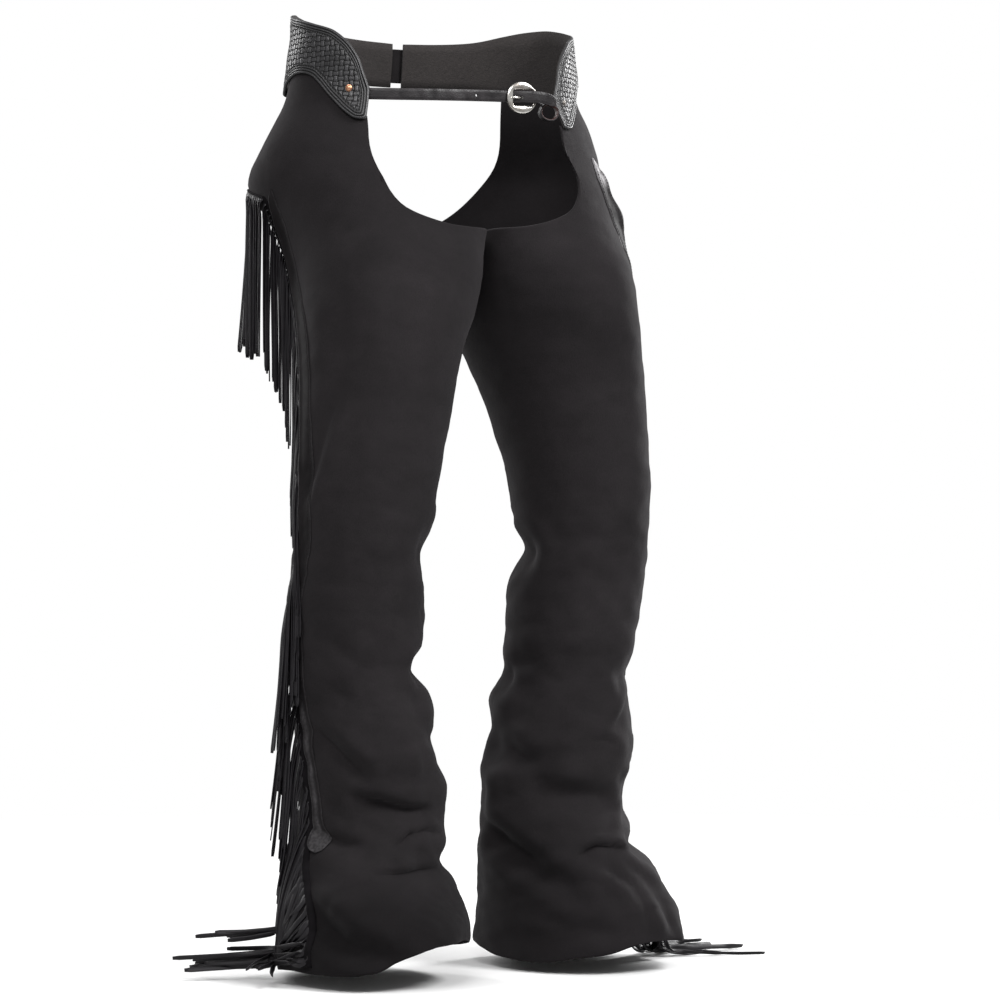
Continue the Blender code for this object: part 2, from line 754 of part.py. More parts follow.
x0, x1, h = WINDOW
c = .0022
window = [(x0 + c, -h), (x1 - c * .5, -h), (x1, -h + c), (x1, h - c), (x1 - c * .5, h), (x0 + c, h), (x0, h - c), (x0, -h + c)]
flat_outline("buckle_ring", [ring_outline(BUCKLE_R, 40), window], BUCKLE_T / 2, "nickel_silver",
             M @ Matrix.Translation((0, 0, BUCKLE_OUT + BUCKLE_T / 2)), bevel=.0005)

# the buckle's own strap: from under the left yoke, round the bar and a little way back
BAR = Vector((BAR_OFF, 0, BUCKLE_OUT + BUCKLE_T / 2))
N_CHAPE = 20
CHAPE_TO = at_buckle(BAR.x + .0026, BAR.z - .0033, .0085)
CHAPE_ROUTE = [strap_point(*row, 0) for row in CHAPE]
CHAPE_ROUTE += [CHAPE_ROUTE[-1].lerp(CHAPE_TO, f) for f in (.33, .67, 1.0)]


def chape_point(i, j):
    """Straight from the yoke to the buckle, then a half turn round the bar in the window."""
    half = (.0056 if i > 9 else .0060) * (j - 1)
    if i <= 8:
        return strap_between(CHAPE_ROUTE, i / 8) + Vector((0, 0, half))
    mid = .0030
    if i <= 10:
        local = Vector((BAR.x + .0010 - .0010 * (i - 9), 0, BAR.z - mid))
    else:
        t = (i - 10) / 7
        if t <= 1:
            a = -math.pi / 2 - math.pi * t
            local = Vector((BAR.x + .0034 * math.cos(a), 0, BAR.z + mid * math.sin(a)))
        else:
            local = Vector((BAR.x + .0014 * (i - 17), 0, BAR.z + mid))
    return at_buckle(local.x, local.z, .0085 + half)


def tube(name, points, radius, mat, resolution=2):
    """A round wire through points, with filled caps, as a mesh."""
    curve = bpy.data.curves.new(name, "CURVE")
    curve.dimensions = "3D"
    curve.bevel_depth = radius
    curve.bevel_resolution = resolution
    curve.use_fill_caps = True
    spline = curve.splines.new("POLY")
    spline.points.add(len(points) - 1)
    for p, q in zip(spline.points, points):
        p.co = (q[0], q[1], q[2], 1)
    obj = bpy.data.objects.new(name, curve)
    return adopt(obj, name, mat)


tongue = [M @ Vector(p) for p in (
    (.0098, 0, .0034), (.0070, 0, .0034), (.0030, 0, .0036), (.0004, 0, .0040), (-.0028, 0, .0051),
    (-.0060, 0, .0061), (-.0092, 0, .0064), (-.0126, 0, .0065))]
tube("buckle_tongue", tongue, .0010, "nickel_silver")


# ---------------------------------------------------------------- keeper that hangs below the strap
def turned(name, profile, steps, mat, matrix):
    """A profile turned about its local z axis."""
    mesh = bpy.data.meshes.new(name)
    n = len(profile)
    mesh.from_pydata([(r, 0, z) for r, z in profile], [(k, (k + 1) % n) for k in range(n)], [])
    obj = bpy.data.objects.new(name, mesh)
    obj.matrix_world = matrix
    screw = obj.modifiers.new("turn", "SCREW")
    screw.angle = 2 * math.pi
    screw.steps = screw.render_steps = steps
    screw.use_merge_vertices = True
    screw.merge_threshold = 1e-5
    return adopt(obj, name, mat)


K = buckle_frame()
K.translation = at_buckle(.0268, .0006, -.0052)
turned("keeper_loop", [(.0084, .0034), (.0084, -.0034), (.0066, -.0034), (.0066, .0034)], 20, "strap_leather",
       K @ Matrix.Scale(1.08, 4, (1, 0, 0)))


# ---------------------------------------------------------------- rivets on the yokes' tips
def rivet(name, side, deg, z, mat):
    # the yoke's own outer face where a line from outside meets it
    yoke = bpy.data.objects["yoke_right" if side < 0 else "yoke_left"]
    bpy.context.view_layer.update()
    yoke = yoke.evaluated_get(bpy.context.evaluated_depsgraph_get())
    q, p = hips(deg, z, .05), hips(deg, z, 0)
    q.x *= side
    p.x *= side
    _, p, out, _ = yoke.ray_cast(q, (p - q).normalized())
    p = p + out * .0011
    rot = out.to_track_quat("Z", "Y").to_matrix().to_4x4()
    rot.translation = p
    profile = [(0, 0), (.0034, 0), (.0034, .0004), (.0029, .0011), (.0016, .0016), (0, .0018)]
    mesh = bpy.data.meshes.new(name)
    n = len(profile)
    mesh.from_pydata([(r, 0, zz) for r, zz in profile[::-1]], [(k, k + 1) for k in range(n - 1)], [])
    obj = bpy.data.objects.new(name, mesh)
    obj.matrix_world = rot
    screw = obj.modifiers.new("turn", "SCREW")
    screw.angle = 2 * math.pi
    screw.steps = screw.render_steps = 16
    screw.use_merge_vertices = True
    screw.merge_threshold = 1e-5
    adopt(obj, name, mat)


rivet("rivet_right", -1, 57.5, .0135, "copper")
rivet("rivet_left", 1, 33.5, .0085, "nickel_silver")

# the chape last, because its bend uses the buckle's place
sheet("buckle_strap", N_CHAPE, 2, chape_point, .0015, "strap_leather", (0, 0), centred=True)

# the strap's punched holes: a slot for the tongue and a round spare one
ACROSS = strap_point(8.3, .0085, .0, 0)
AWAY = strap_point(8.3, .0085, .01, 0)
spare = (AWAY - ACROSS).normalized().to_track_quat("Z", "Y").to_matrix().to_4x4()
spare.translation = ACROSS
slot = M @ Matrix.Translation((-.0026, 0, .004)) @ Matrix.Diagonal((1.9, 1, 1, 1))
for name, matrix, radius in (("slot", slot, .0021), ("spare", spare, .0014)):
    bpy.ops.mesh.primitive_cylinder_add(vertices=12, radius=radius, depth=.014)
    cutter = adopt(bpy.context.object, name, None, CUTTERS)
    cutter.matrix_world = matrix
    cutter.hide_render = True
    cutter.display_type = "WIRE"
    cut = front.modifiers.new(name, "BOOLEAN")
    cut.operation = "DIFFERENCE"
    cut.object = cutter
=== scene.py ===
"""Looks for a pair of black suede show chaps: suede legs, side strips and fringe, basket-tooled
yokes, front strap and buckle. Metres, +Z up, the wearer faces -Y and the wearer's right is -X.
Angles round a leg are in degrees: 0 front, 90 outer side, 180 back, -90 inner side.
"""

import math

import bpy
import numpy as np
from mathutils import Matrix, Vector


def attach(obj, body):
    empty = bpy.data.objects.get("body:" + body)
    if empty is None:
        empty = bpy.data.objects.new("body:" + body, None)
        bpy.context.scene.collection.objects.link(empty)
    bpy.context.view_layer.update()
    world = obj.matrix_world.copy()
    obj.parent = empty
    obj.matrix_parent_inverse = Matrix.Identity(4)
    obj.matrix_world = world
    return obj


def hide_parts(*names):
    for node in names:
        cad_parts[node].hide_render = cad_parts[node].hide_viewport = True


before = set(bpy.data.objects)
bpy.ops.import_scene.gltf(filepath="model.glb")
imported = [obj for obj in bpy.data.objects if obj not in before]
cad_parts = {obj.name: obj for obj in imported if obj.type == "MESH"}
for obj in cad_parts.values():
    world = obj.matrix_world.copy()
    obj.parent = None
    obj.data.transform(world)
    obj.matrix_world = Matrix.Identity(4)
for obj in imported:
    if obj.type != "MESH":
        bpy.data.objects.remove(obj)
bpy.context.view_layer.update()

SIDES = (-1, 1)
WORD = {-1: "right", 1: "left"}

# ------------------------------------------------------------------ the garment's sizes, as the solids have them
SUEDE, TRIM, YOKE_T, STRAP_T, STRAP_W = .0020, .0016, .0032, .0022, .0125
YOKE_LIFT, FLOOR, HIP = .0034, -.935, .633
LEG = [
    (-0.100, .0820, -.0220, .1000, .1360, 6), (-0.133, .0860, -.0300, .1000, .1350, 7),
    (-0.176, .0940, -.0480, .0985, .1290, 9), (-0.218, .1040, -.0620, .0935, .1190, 11),
    (-0.261, .1150, -.0690, .0855, .1080, 12), (-0.320, .1265, -.0795, .0800, .0925, 12),
    (-0.380, .1350, -.0833, .0770, .0830, 12), (-0.431, .1420, -.0827, .0735, .0760, 12),
    (-0.479, .1450, -.0812, .0695, .0715, 12), (-0.530, .1425, -.0700, .0700, .0740, 12),
    (-0.572, .1385, -.0658, .0690, .0728, 12), (-0.608, .1375, -.0600, .0685, .0725, 12),
    (-0.660, .1310, -.0614, .0705, .0795, 12), (-0.694, .1265, -.0628, .0722, .0850, 12),
    (-0.730, .1200, -.0631, .0775, .0805, 12), (-0.768, .1200, -.0631, .0778, .0785, 12),
    (-0.815, .1290, -.0665, .0845, .1000, 12), (-0.865, .1340, -.0840, .0925, .1205, 12),
    (-0.935, .1355, -.0890, .0970, .1280, 12),
]
PELVIS = [
    (-.14, .2080, .1520), (-.09, .2070, .1490), (-.04, .1960, .1395),
    (.000, .1805, .1252), (.022, .1752, .1196), (.105, .1665, .1090),
]
SEAM = {
    -1: [(-.085, 100), (-.111, 107), (-.140, 112), (-.170, 114), (-.215, 109), (-.260, 103), (-.330, 101),
         (-.400, 99), (-.445, 98), (-.500, 102), (-.540, 106), (-.575, 105), (-.610, 99), (-.660, 96),
         (-.700, 94), (-.740, 88), (-.780, 84), (-.850, 79), (-.935, 77)],
    1: [(-.050, 25), (-.070, 31), (-.100, 40), (-.145, 53), (-.180, 64), (-.220, 74), (-.270, 83), (-.350, 90),
        (-.450, 95), (-.600, 97), (-.750, 91), (-.935, 88)],
}
EDGE = {
    -1: [
        (25.2, None, 29.0), (23.5, -.032, 25.0), (22.8, -.062, 20.5), (20.4, -.090, 15.0), (14.0, -.114, 8.0),
        (2.0, -.127, -2.0), (-14.0, -.134, -16.0), (-50.0, -.134, -50.0), (-90.0, -.135, -90.0),
        (-130.0, -.132, -130.0), (-150.0, -.122, -150.0), (-166.0, -.100, -164.0), (-176.0, -.066, -174.0),
        (-181.5, -.030, -181.0), (-184.5, .006, -185.0), (-186.0, None, -188.0),
    ],
    1: [
        (-7.5, None, -2.0), (-10.5, -.036, -7.0), (-9.3, -.064, -12.0), (-14.0, -.090, -17.5),
        (-23.5, -.110, -24.0), (-36.0, -.122, -34.0), (-52.0, -.130, -50.0), (-70.0, -.132, -70.0),
        (-90.0, -.135, -90.0), (-130.0, -.133, -130.0), (-150.0, -.128, -150.0), (-170.0, -.118, -168.0),
        (-188.0, -.098, -186.0), (-201.0, -.064, -199.0), (-208.5, -.030, -206.5), (-212.0, .006, -211.0),
        (-214.0, None, -215.0),
    ],
}
TIP = {-1: 49.0, 1: 28.5}
YOKE = [
    (0.0, -.0200, .0135), (2.0, -.0205, .0260), (5.0, -.0190, .0460), (9.0, -.0120, .0610), (13.0, -.0035, .0700),
    (18.0, .0075, .0775), (23.0, .0195, .0815), (28.0, .0285, .0845), (34.0, .0325, .0880), (41.0, .0325, .0915),
    (50.0, .0285, .0950), (60.0, .0215, .0995), (72.0, .0150, .1035), (84.0, .0190, .1030), (96.0, .0290, .0990),
    (110.0, .0370, .0925), (124.0, .0395, .0900), (139.0, .0400, .0885),
]
HEM = {
    -1: [(-180, -.924), (-125, -.912), (-90, -.903), (-50, -.893), (-30, -.887), (-5, -.888), (12, -.896),
         (24, -.905), (37, -.915), (65, -.918), (92, -.920), (130, -.924), (180, -.924)],
    1: [(-180, -.922), (-125, -.913), (-91, -.921), (-62, -.925), (-45, -.918), (-26, -.911), (-9, -.903),
        (20, -.902), (45, -.905), (90, -.914), (130, -.921), (180, -.922)],
}
# the solids' folds: from angle and height to angle and height, depth (+ in, - out), half width
FOLDS = {
    -1: [
        (-95, -.486, -35, -.474, .0065, .020), (-100, -.607, -30, -.603, .0120, .013),
        (-85, -.640, -35, -.648, -.0060, .014), (-75, -.872, -20, -.880, -.0040, .022),
        (75, -.668, 42, -.716, .0065, .011), (-85, -.676, -35, -.672, .0040, .013),
        (44, -.739, -8, -.755, .0085, .010), (74, -.778, 38, -.800, .0070, .010),
        (-95, -.812, -5, -.806, .0085, .012), (40, -.828, -5, -.828, .0045, .010),
        (70, -.872, 30, -.900, .0090, .015), (-85, -.745, -35, -.735, -.0030, .016),
        (140, -.500, 215, -.486, .0080, .016), (150, -.590, 230, -.606, .0090, .014),
        (135, -.715, 205, -.690, .0070, .013), (150, -.790, 235, -.812, .0080, .013),
        (160, -.860, 215, -.846, .0060, .014),
    ],
    1: [
        (-175, -.478, -95, -.484, .0115, .018), (-165, -.612, -100, -.620, .0065, .014),
        (-150, -.645, -95, -.652, -.0050, .016), (-100, -.700, -50, -.716, .0085, .016),
        (20, -.618, 80, -.612, .0055, .014), (-75, -.744, 5, -.748, .0060, .014),
        (-90, -.797, -44, -.842, .0090, .014), (-20, -.812, 4, -.812, .0080, .009),
        (25, -.806, 85, -.800, .0130, .012), (10, -.832, 24, -.880, .0060, .011),
        (-8, -.842, 8, -.884, -.0040, .010), (-45, -.820, -22, -.866, -.0035, .012),
        (-160, -.735, -110, -.745, .0045, .014), (130, -.520, 205, -.500, .0080, .016),
        (120, -.640, 200, -.655, .0075, .013), (115, -.735, 190, -.715, .0070, .013),
        (130, -.800, 215, -.828, .0080, .013),
    ],
}
# how much of each of those the shell keeps, where a finer crease below takes its place
FOLD_SHARE = {
    -1: [.9, 1, 1, 1, .45, .8, .35, .55, .8, .3, .8, .6, 1, 1, 1, 1, 1],
    1: [1, 1, 1, .8, .8, .7, .9, .45, .9, .8, .6, .6, 1, 1, 1, 1, 1],
}
# finer creases: points along (angle, height), depth (+ in, - out), half width above the line, half width below it
CREASES = {
    -1: [
        ([(82, -.668), (66, -.682), (50, -.702), (40, -.716)], .0040, .0080, .0065),
        ([(46, -.734), (26, -.741), (6, -.748), (-14, -.749)], .0052, .0028, .0070),
        ([(48, -.724), (20, -.731), (-10, -.737)], -.0020, .0090, .0050),
        ([(14, -.789), (4, -.777), (-12, -.773), (-34, -.779)], .0040, .0030, .0060),
        ([(-6, -.782), (-14, -.792), (-24, -.806)], -.0018, .0045, .0060),
        ([(34, -.817), (12, -.815), (-10, -.814), (-32, -.814)], .0038, .0026, .0065),
        ([(36, -.806), (0, -.803), (-30, -.803)], -.0016, .0060, .0040),
        ([(76, -.776), (60, -.786), (36, -.790)], .0036, .0075, .0060),
        ([(80, -.836), (72, -.862), (60, -.886), (44, -.903)], .0046, .0120, .0085),
        ([(58, -.838), (46, -.862), (34, -.880)], -.0022, .0130, .0100),
        ([(60, -.618), (46, -.632), (34, -.637)], .0016, .0090, .0080),
        ([(58, -.570), (44, -.588), (30, -.596)], .0014, .0080, .0080),
        ([(-6, -.682), (-7, -.700), (-4, -.716)], -.0018, .0065, .0065),
        ([(-14, -.578), (-18, -.594), (-28, -.606)], -.0016, .0055, .0050),
        ([(58, -.296), (68, -.330), (76, -.365), (88, -.425)], .0026, .0095, .0060),
        ([(56, -.332), (72, -.388), (84, -.444)], -.0011, .0040, .0030),
        ([(94, -.255), (86, -.300), (92, -.350)], -.0014, .0200, .0200),
        ([(86, -.200), (82, -.240), (78, -.284)], -.0018, .0140, .0140),
        ([(60, -.300), (64, -.360), (74, -.420)], -.0012, .0160, .0160),
        ([(30, -.870), (28, -.886)], -.0012, .0050, .0050),
        ([(-60, -.560), (-30, -.548), (0, -.552)], .0012, .0120, .0100),
        ([(30, -.500), (0, -.488), (-40, -.486)], .0014, .0140, .0120),
        ([(128, -.560), (150, -.548), (176, -.552)], .0030, .0090, .0080),
        ([(120, -.660), (146, -.646), (170, -.650)], .0034, .0080, .0070),
        ([(112, -.748), (138, -.756), (160, -.748)], .0034, .0080, .0070),
        ([(-150, -.455), (-172, -.470), (-196, -.462)], .0030, .0100, .0090),
    ],
    1: [
        ([(-84, -.694), (-70, -.706), (-56, -.716)], .0034, .0090, .0080),
        ([(36, -.618), (24, -.636), (8, -.660)], -.0026, .0055, .0065),
        ([(26, -.650), (12, -.672), (4, -.680)], .0012, .0070, .0060),
        ([(-12, -.683), (0, -.686), (10, -.690)], .0020, .0026, .0050),
        ([(-72, -.730), (-40, -.736), (-8, -.744), (20, -.754)], .0030, .0110, .0130),
        ([(-60, -.716), (-30, -.722), (0, -.730)], -.0016, .0120, .0080),
        ([(-112, -.772), (-92, -.786), (-72, -.802), (-54, -.816)], .0046, .0110, .0090),
        ([(-30, -.812), (-20, -.803), (-12, -.799), (0, -.800), (12, -.805)], .0052, .0026, .0070),
        ([(-52, -.846), (-52, -.826), (-44, -.813), (-34, -.812)], -.0026, .0060, .0070),
        ([(-26, -.824), (-17, -.836), (-11, -.858), (-8, -.884)], -.0040, .0075, .0060),
        ([(-14, -.822), (-2, -.842), (0, -.866), (-1, -.890)], .0038, .0060, .0060),
        ([(28, -.876), (30, -.896), (32, -.912)], -.0026, .0060, .0060),
        ([(34, -.752), (26, -.766), (14, -.782)], -.0022, .0050, .0060),
        ([(-92, -.590), (-80, -.600), (-62, -.606)], .0020, .0080, .0070),
        ([(-76, -.884), (-66, -.888), (-56, -.884)], -.0016, .0070, .0060),
        ([(-70, -.848), (-60, -.870), (-40, -.888), (-20, -.894)], .0014, .0090, .0090),
        ([(-60, -.470), (-20, -.462), (20, -.470)], .0012, .0160, .0140),
        ([(70, -.480), (95, -.490), (120, -.482)], .0026, .0110, .0100),
        ([(60, -.560), (90, -.570), (116, -.560)], .0022, .0100, .0090),
        ([(60, -.690), (84, -.700), (108, -.694)], .0030, .0090, .0080),
        ([(66, -.850), (90, -.862), (120, -.852)], .0030, .0100, .0100),
        ([(-140, -.560), (-168, -.552), (-190, -.560)], .0026, .0100, .0090),
    ],
}
# fullness of each leg at the sides seen edge-on: angle, half width of the change, then height and depth (+ in)
OUTLINE = {
    -1: [
        (-55, 24, [(-.06, 0), (-.34, 0), (-.37, .003), (-.42, .0022), (-.455, .0005), (-.48, .0035), (-.51, .0065),
                   (-.535, .003), (-.55, .001), (-.57, .0055), (-.588, .0085), (-.603, .001), (-.64, .002),
                   (-.655, 0), (-.668, -.0045), (-.684, .003), (-.70, .004), (-.72, .001), (-.80, .0028),
                   (-.815, .0025), (-.83, 0), (-.93, .0015)]),
        (127, 26, [(.03, .006), (.00, .006), (-.015, .006), (-.035, .0085), (-.055, .0085), (-.07, .0035), (-.085, -.002), (-.10, -.003), (-.12, 0),
                   (-.41, 0), (-.43, .0028), (-.465, .0035), (-.49, 0), (-.93, 0)]),
    ],
    1: [
        (-129, 24, [(-.2, -.0023), (-.35, -.0018), (-.38, .0005), (-.43, 0), (-.444, .0027), (-.47, .0005),
                    (-.492, -.0019), (-.51, .0018), (-.54, 0), (-.588, .002), (-.604, 0), (-.62, -.0045),
                    (-.64, -.0005), (-.652, .0028), (-.70, .002), (-.73, -.0012), (-.748, -.0033), (-.765, .0005),
                    (-.81, .003), (-.845, .0038), (-.876, .002), (-.90, 0), (-.93, -.003)]),
        (48, 24, [(.03, .003), (.01, .002), (-.01, -.001), (-.035, 0), (-.06, .002), (-.076, .0022), (-.10, 0), (-.15, 0),
                  (-.19, .0028), (-.22, .005), (-.25, .0048), (-.30, .0033), (-.38, .003), (-.396, 0), (-.45, .001),
                  (-.54, -.001), (-.60, .001), (-.62, .0038), (-.636, .005), (-.652, .0037), (-.67, .001), (-.716, 0),
                  (-.735, .0045), (-.764, .0047), (-.78, .007), (-.80, .004), (-.828, .007), (-.86, .005),
                  (-.88, .001), (-.93, 0)]),
    ],
}
PLACKET_TOP = {-1: -.092, 1: -.050}
PLACKET_LOW = -.798
PLACKET_W = .0215


# ------------------------------------------------------------------ curves, noise and meshes
def curve(rows, x, col):
    """Smooth curve through a table's column, for an array of x."""
    a = np.array([[r[0], r[col]] for r in rows], float)
    a = a[np.argsort(a[:, 0])]
    X, Y = a[:, 0], a[:, 1]
    s = np.empty(len(X))
    s[1:-1] = (Y[2:] - Y[:-2]) / (X[2:] - X[:-2])
    s[0], s[-1] = (Y[1] - Y[0]) / (X[1] - X[0]), (Y[-1] - Y[-2]) / (X[-1] - X[-2])
    x = np.clip(np.asarray(x, float), X[0], X[-1])
    i = np.clip(np.searchsorted(X, x) - 1, 0, len(X) - 2)
    h = X[i + 1] - X[i]
    t = (x - X[i]) / h
    return ((2 * t ** 3 - 3 * t * t + 1) * Y[i] + (t ** 3 - 2 * t * t + t) * h * s[i]
            + (3 * t * t - 2 * t ** 3) * Y[i + 1] + (t ** 3 - t * t) * h * s[i + 1])


def ease(a, b, x):
    t = np.clip((np.asarray(x, float) - a) / (b - a), 0, 1)
    return t * t * (3 - 2 * t)


def waves(P, length, seed, n=22):
    """A smooth random field of about unit size, with bumps of about this length."""
    rs = np.random.default_rng(seed)
    way = rs.normal(size=(n, 3))
    way /= np.linalg.norm(way, axis=1)[:, None]
    k = 2 * math.pi / length * rs.uniform(.65, 1.5, n)
    ph = rs.uniform(0, 2 * math.pi, n)
    out = np.zeros(P.shape[:-1])
    for q in range(n):
        out += np.sin((P @ way[q]) * k[q] + ph[q])
    return out * math.sqrt(2.0 / n)


def unit(v):
    return v / np.maximum(np.linalg.norm(v, axis=-1, keepdims=True), 1e-12)


def hips(deg, z, out=0.0):
    """Points on the hips; deg is from the front centre towards the side, x is positive."""
    b = np.radians(np.asarray(deg, float))
    z = np.asarray(z, float)
    A, B = curve(PELVIS, z, 1), curve(PELVIS, z, 2)
    nx, ny = np.sin(b) / A, -np.cos(b) / B
    m = np.hypot(nx, ny)
    return np.stack(np.broadcast_arrays(A * np.sin(b) + nx / m * out, -B * np.cos(b) + ny / m * out, z), -1)


def line_distance(points, phi, z):
    """Signed distance to a crease's line (+ above it) and the share of the way along it."""
    best = np.full(phi.shape, 1e9)
    sign = np.ones(phi.shape)
    along = np.zeros(phi.shape)
    n = len(points) - 1
    for k in range(n):
        (a0, z0), (a1, z1) = points[k], points[k + 1]
        for turn in (-360, 0, 360):
            px, pz = (phi + turn - a0) * .0014, z - z0
            lx, lz = (a1 - a0) * .0014, z1 - z0
            t = np.clip((px * lx + pz * lz) / (lx * lx + lz * lz), 0, 1)
            d = np.hypot(px - t * lx, pz - t * lz)
            side = np.sign(lx * pz - lz * px)
            if lx < 0:
                side = -side
            near = d < best
            best = np.where(near, d, best)
            sign = np.where(near, side, sign)
            along = np.where(near, (k + t) / n, along)
    return best * sign, along


def fold_depth(side, phi, z):
    total = np.zeros(phi.shape)
    for (a0, z0, a1, z1, depth, width), share in zip(FOLDS[side], FOLD_SHARE[side]):
        d, _ = line_distance([(a0, z0), (a1, z1)], phi, z)
        d = np.abs(d) / width
        total += share * depth * (np.exp(-d * d) - .30 * np.exp(-((d - 1.9) / .8) ** 2))
    return total * ease(-.38, -.45, z)


def crease_depth(side, phi, z):
    total = np.zeros(phi.shape)
    for points, depth, up, down in CREASES[side]:
        d, t = line_distance(points, phi, z)
        w = np.where(d > 0, up, down)
        taper = np.clip(1 - np.abs(2 * t - 1) ** 3 * .75, 0, 1)
        q = d / w
        shape = np.exp(-q * q)
        if depth > 0:       # cloth that is pushed together stands up above its crease
            shape = shape - .42 * np.exp(-((d - 2.2 * up) / (1.5 * up)) ** 2)
        total += 1.45 * depth * taper * shape
    return total


def ring(side, phi, z, detail=True):
    """Points on the inside face of a leg, for arrays of angles and heights."""
    phi, z = np.broadcast_arrays(np.asarray(phi, float), np.asarray(z, float))
    phi = np.where(np.abs(phi) > 240, (phi + 180) % 360 - 180, phi)
    wrapped = np.where(phi < -118, phi + 360, phi)
    w = ease(-.175, -.03, z)
    p = np.radians(phi)
    cx, cy, rx, ry, toe = (curve(LEG, z, k) for k in (1, 2, 3, 4, 5))
    t = np.radians(toe)
    o, f = rx * np.sin(p - t), ry * np.cos(p - t)
    x = cx + o * np.cos(t) + f * np.sin(t)
    y = cy - f * np.cos(t) + o * np.sin(t)
    b = np.radians(90 + (wrapped - 90) * HIP)
    x = (1 - w) * x + w * curve(PELVIS, z, 1) * np.sin(b)
    y = (1 - w) * y - w * curve(PELVIS, z, 2) * np.cos(b)
    seat = (.016 if side < 0 else .012) * np.exp(-((wrapped - 128) / 40) ** 2) * np.exp(-((z + .068) / .042) ** 2)
    d = -seat + fold_depth(side, phi, z)
    if detail:
        P0 = np.stack([side * x, y, z], -1)
        low = ease(-.30, -.62, z)
        calm = 1 - ease(-.06, -.01, z)
        d = d + crease_depth(side, phi, z) - calm * (
            (.0003 + .0004 * low) * waves(P0 * (1, 1, .8), .110, 11 + side)
            + (.00020 + .00030 * low) * waves(P0 * (1, 1, 1.5), .042, 21 + side)
            + (.00007 + .00010 * low) * waves(P0 * (1, 1, 1.3), .017, 31 + side))
        for centre, width, rows in OUTLINE[side]:
            away = (phi - centre + 180) % 360 - 180
            d = d + curve(rows, z, 1) * np.exp(-(away / width) ** 2)
    x = x - d * np.sin(p)
    y = y + d * np.cos(p)
    near = 1 - ease(-.10, -.05, z)
    keep, soft = .0048, .010
    x = x + near * .5 * (keep - x + np.sqrt((x - keep) ** 2 + soft * soft))
    return np.stack([side * x, y, z], -1)


def skin(side, phi, z, out=0.0, detail=True):
    """Points and outward normals over a leg's outer face, out from it."""
    phi, z = np.broadcast_arrays(np.asarray(phi, float), np.asarray(z, float))
    e, h = .8, .0012
    P = ring(side, phi, z, detail)
    du = ring(side, phi + e, z, detail) - ring(side, phi - e, z, detail)
    dv = ring(side, phi, z + h, detail) - ring(side, phi, z - h, detail)
    N = unit(np.cross(du, dv)) * side
    return P + N * (SUEDE + np.asarray(out)[..., None] if np.ndim(out) else SUEDE + out), N


def yoke_low(side, deg):
    return curve(YOKE, np.asarray(deg) - TIP[side], 1)


def yoke_high(side, deg):
    return curve(YOKE, np.asarray(deg) - TIP[side], 2)


YOKE_IN = {-1: (112, 22, .0055), 1: (62, 20, .0028)}


def yoke_in(side, deg):
    c, w, depth = YOKE_IN[side]
    return depth * np.exp(-((np.asarray(deg) - c) / w) ** 2)


def hip_angle(phi):
    phi = np.asarray(phi, float)
    return 90 + (np.where(phi < -118, phi + 360, phi) - 90) * HIP


def hem_z(side, phi, z):
    a = (np.asarray(phi) + 180) % 360 - 180
    hem = curve(HEM[side], a, 1)
    return np.where(z >= -.832, z, -.832 + (z + .832) * (hem + .832) / (-.930 + .832))


def new_mesh(name, verts, faces, mat=None, smooth=True, uv=None):
    """An object from arrays of points and faces."""
    mesh = bpy.data.meshes.new(name)
    mesh.from_pydata([tuple(v) for v in np.asarray(verts).reshape(-1, 3)], [], [tuple(int(k) for k in f) for f in faces])
    mesh.validate()
    if smooth:
        mesh.shade_smooth()
    if uv is not None:
        layer = mesh.uv_layers.new(name="cloth")
        at = np.empty(len(mesh.loops), np.int32)
        mesh.loops.foreach_get("vertex_index", at)
        layer.data.foreach_set("uv", np.asarray(uv, np.float32)[at].ravel())
    obj = bpy.data.objects.new(name, mesh)
    bpy.context.scene.collection.objects.link(obj)
    if mat:
        mesh.materials.append(mat)
    return obj


def grid_faces(nu, nv, base=0, flip=False, wrap_u=False):
    """Quads of a grid with nu by nv points, stored row by row (v outer, u inner)."""
    last = nu if wrap_u else nu - 1
    i = np.arange(last)
    j = np.arange(nv - 1)
    I, J = np.meshgrid(i, j)
    a = J * nu + I
    b = J * nu + (I + 1) % nu
    c = (J + 1) * nu + (I + 1) % nu
    d = (J + 1) * nu + I
    f = np.stack([a, b, c, d], -1).reshape(-1, 4) + base
    return f[:, ::-1] if flip else f


def shell(name, outer, inner, mat, wrap_u=False, uv=None, flip=False):
    """A closed sheet between an outer and an inner grid of points, (nv, nu, 3) each."""
    nv, nu = outer.shape[:2]
    n = nu * nv
    faces = [grid_faces(nu, nv, 0, flip, wrap_u), grid_faces(nu, nv, n, not flip, wrap_u)]

    def wall(a, b):
        f = np.stack([a[:-1], b[:-1], b[1:], a[1:]], -1)
        return f

    rows = np.arange(nu)
    if wrap_u:
        rows = np.append(rows, 0)
    lo, hi = rows, (nv - 1) * nu + rows
    f1, f2 = wall(lo, lo + n), wall(hi + n, hi)
    extra = [f1, f2]
    if not wrap_u:
        c0, c1 = np.arange(nv) * nu, np.arange(nv) * nu + nu - 1
        extra += [wall(c0 + n, c0), wall(c1, c1 + n)]
    for f in extra:
        faces.append(f[:, ::-1] if flip else f)
    verts = np.concatenate([outer.reshape(-1, 3), inner.reshape(-1, 3)])
    if uv is not None:
        uv = np.concatenate([uv.reshape(-1, 2)] * 2)
    return new_mesh(name, verts, np.concatenate(faces), mat, uv=uv)


def attribute(obj, name, values):
    a = obj.data.attributes.new(name, "FLOAT", "POINT")
    a.data.foreach_set("value", np.asarray(values, np.float32).ravel())


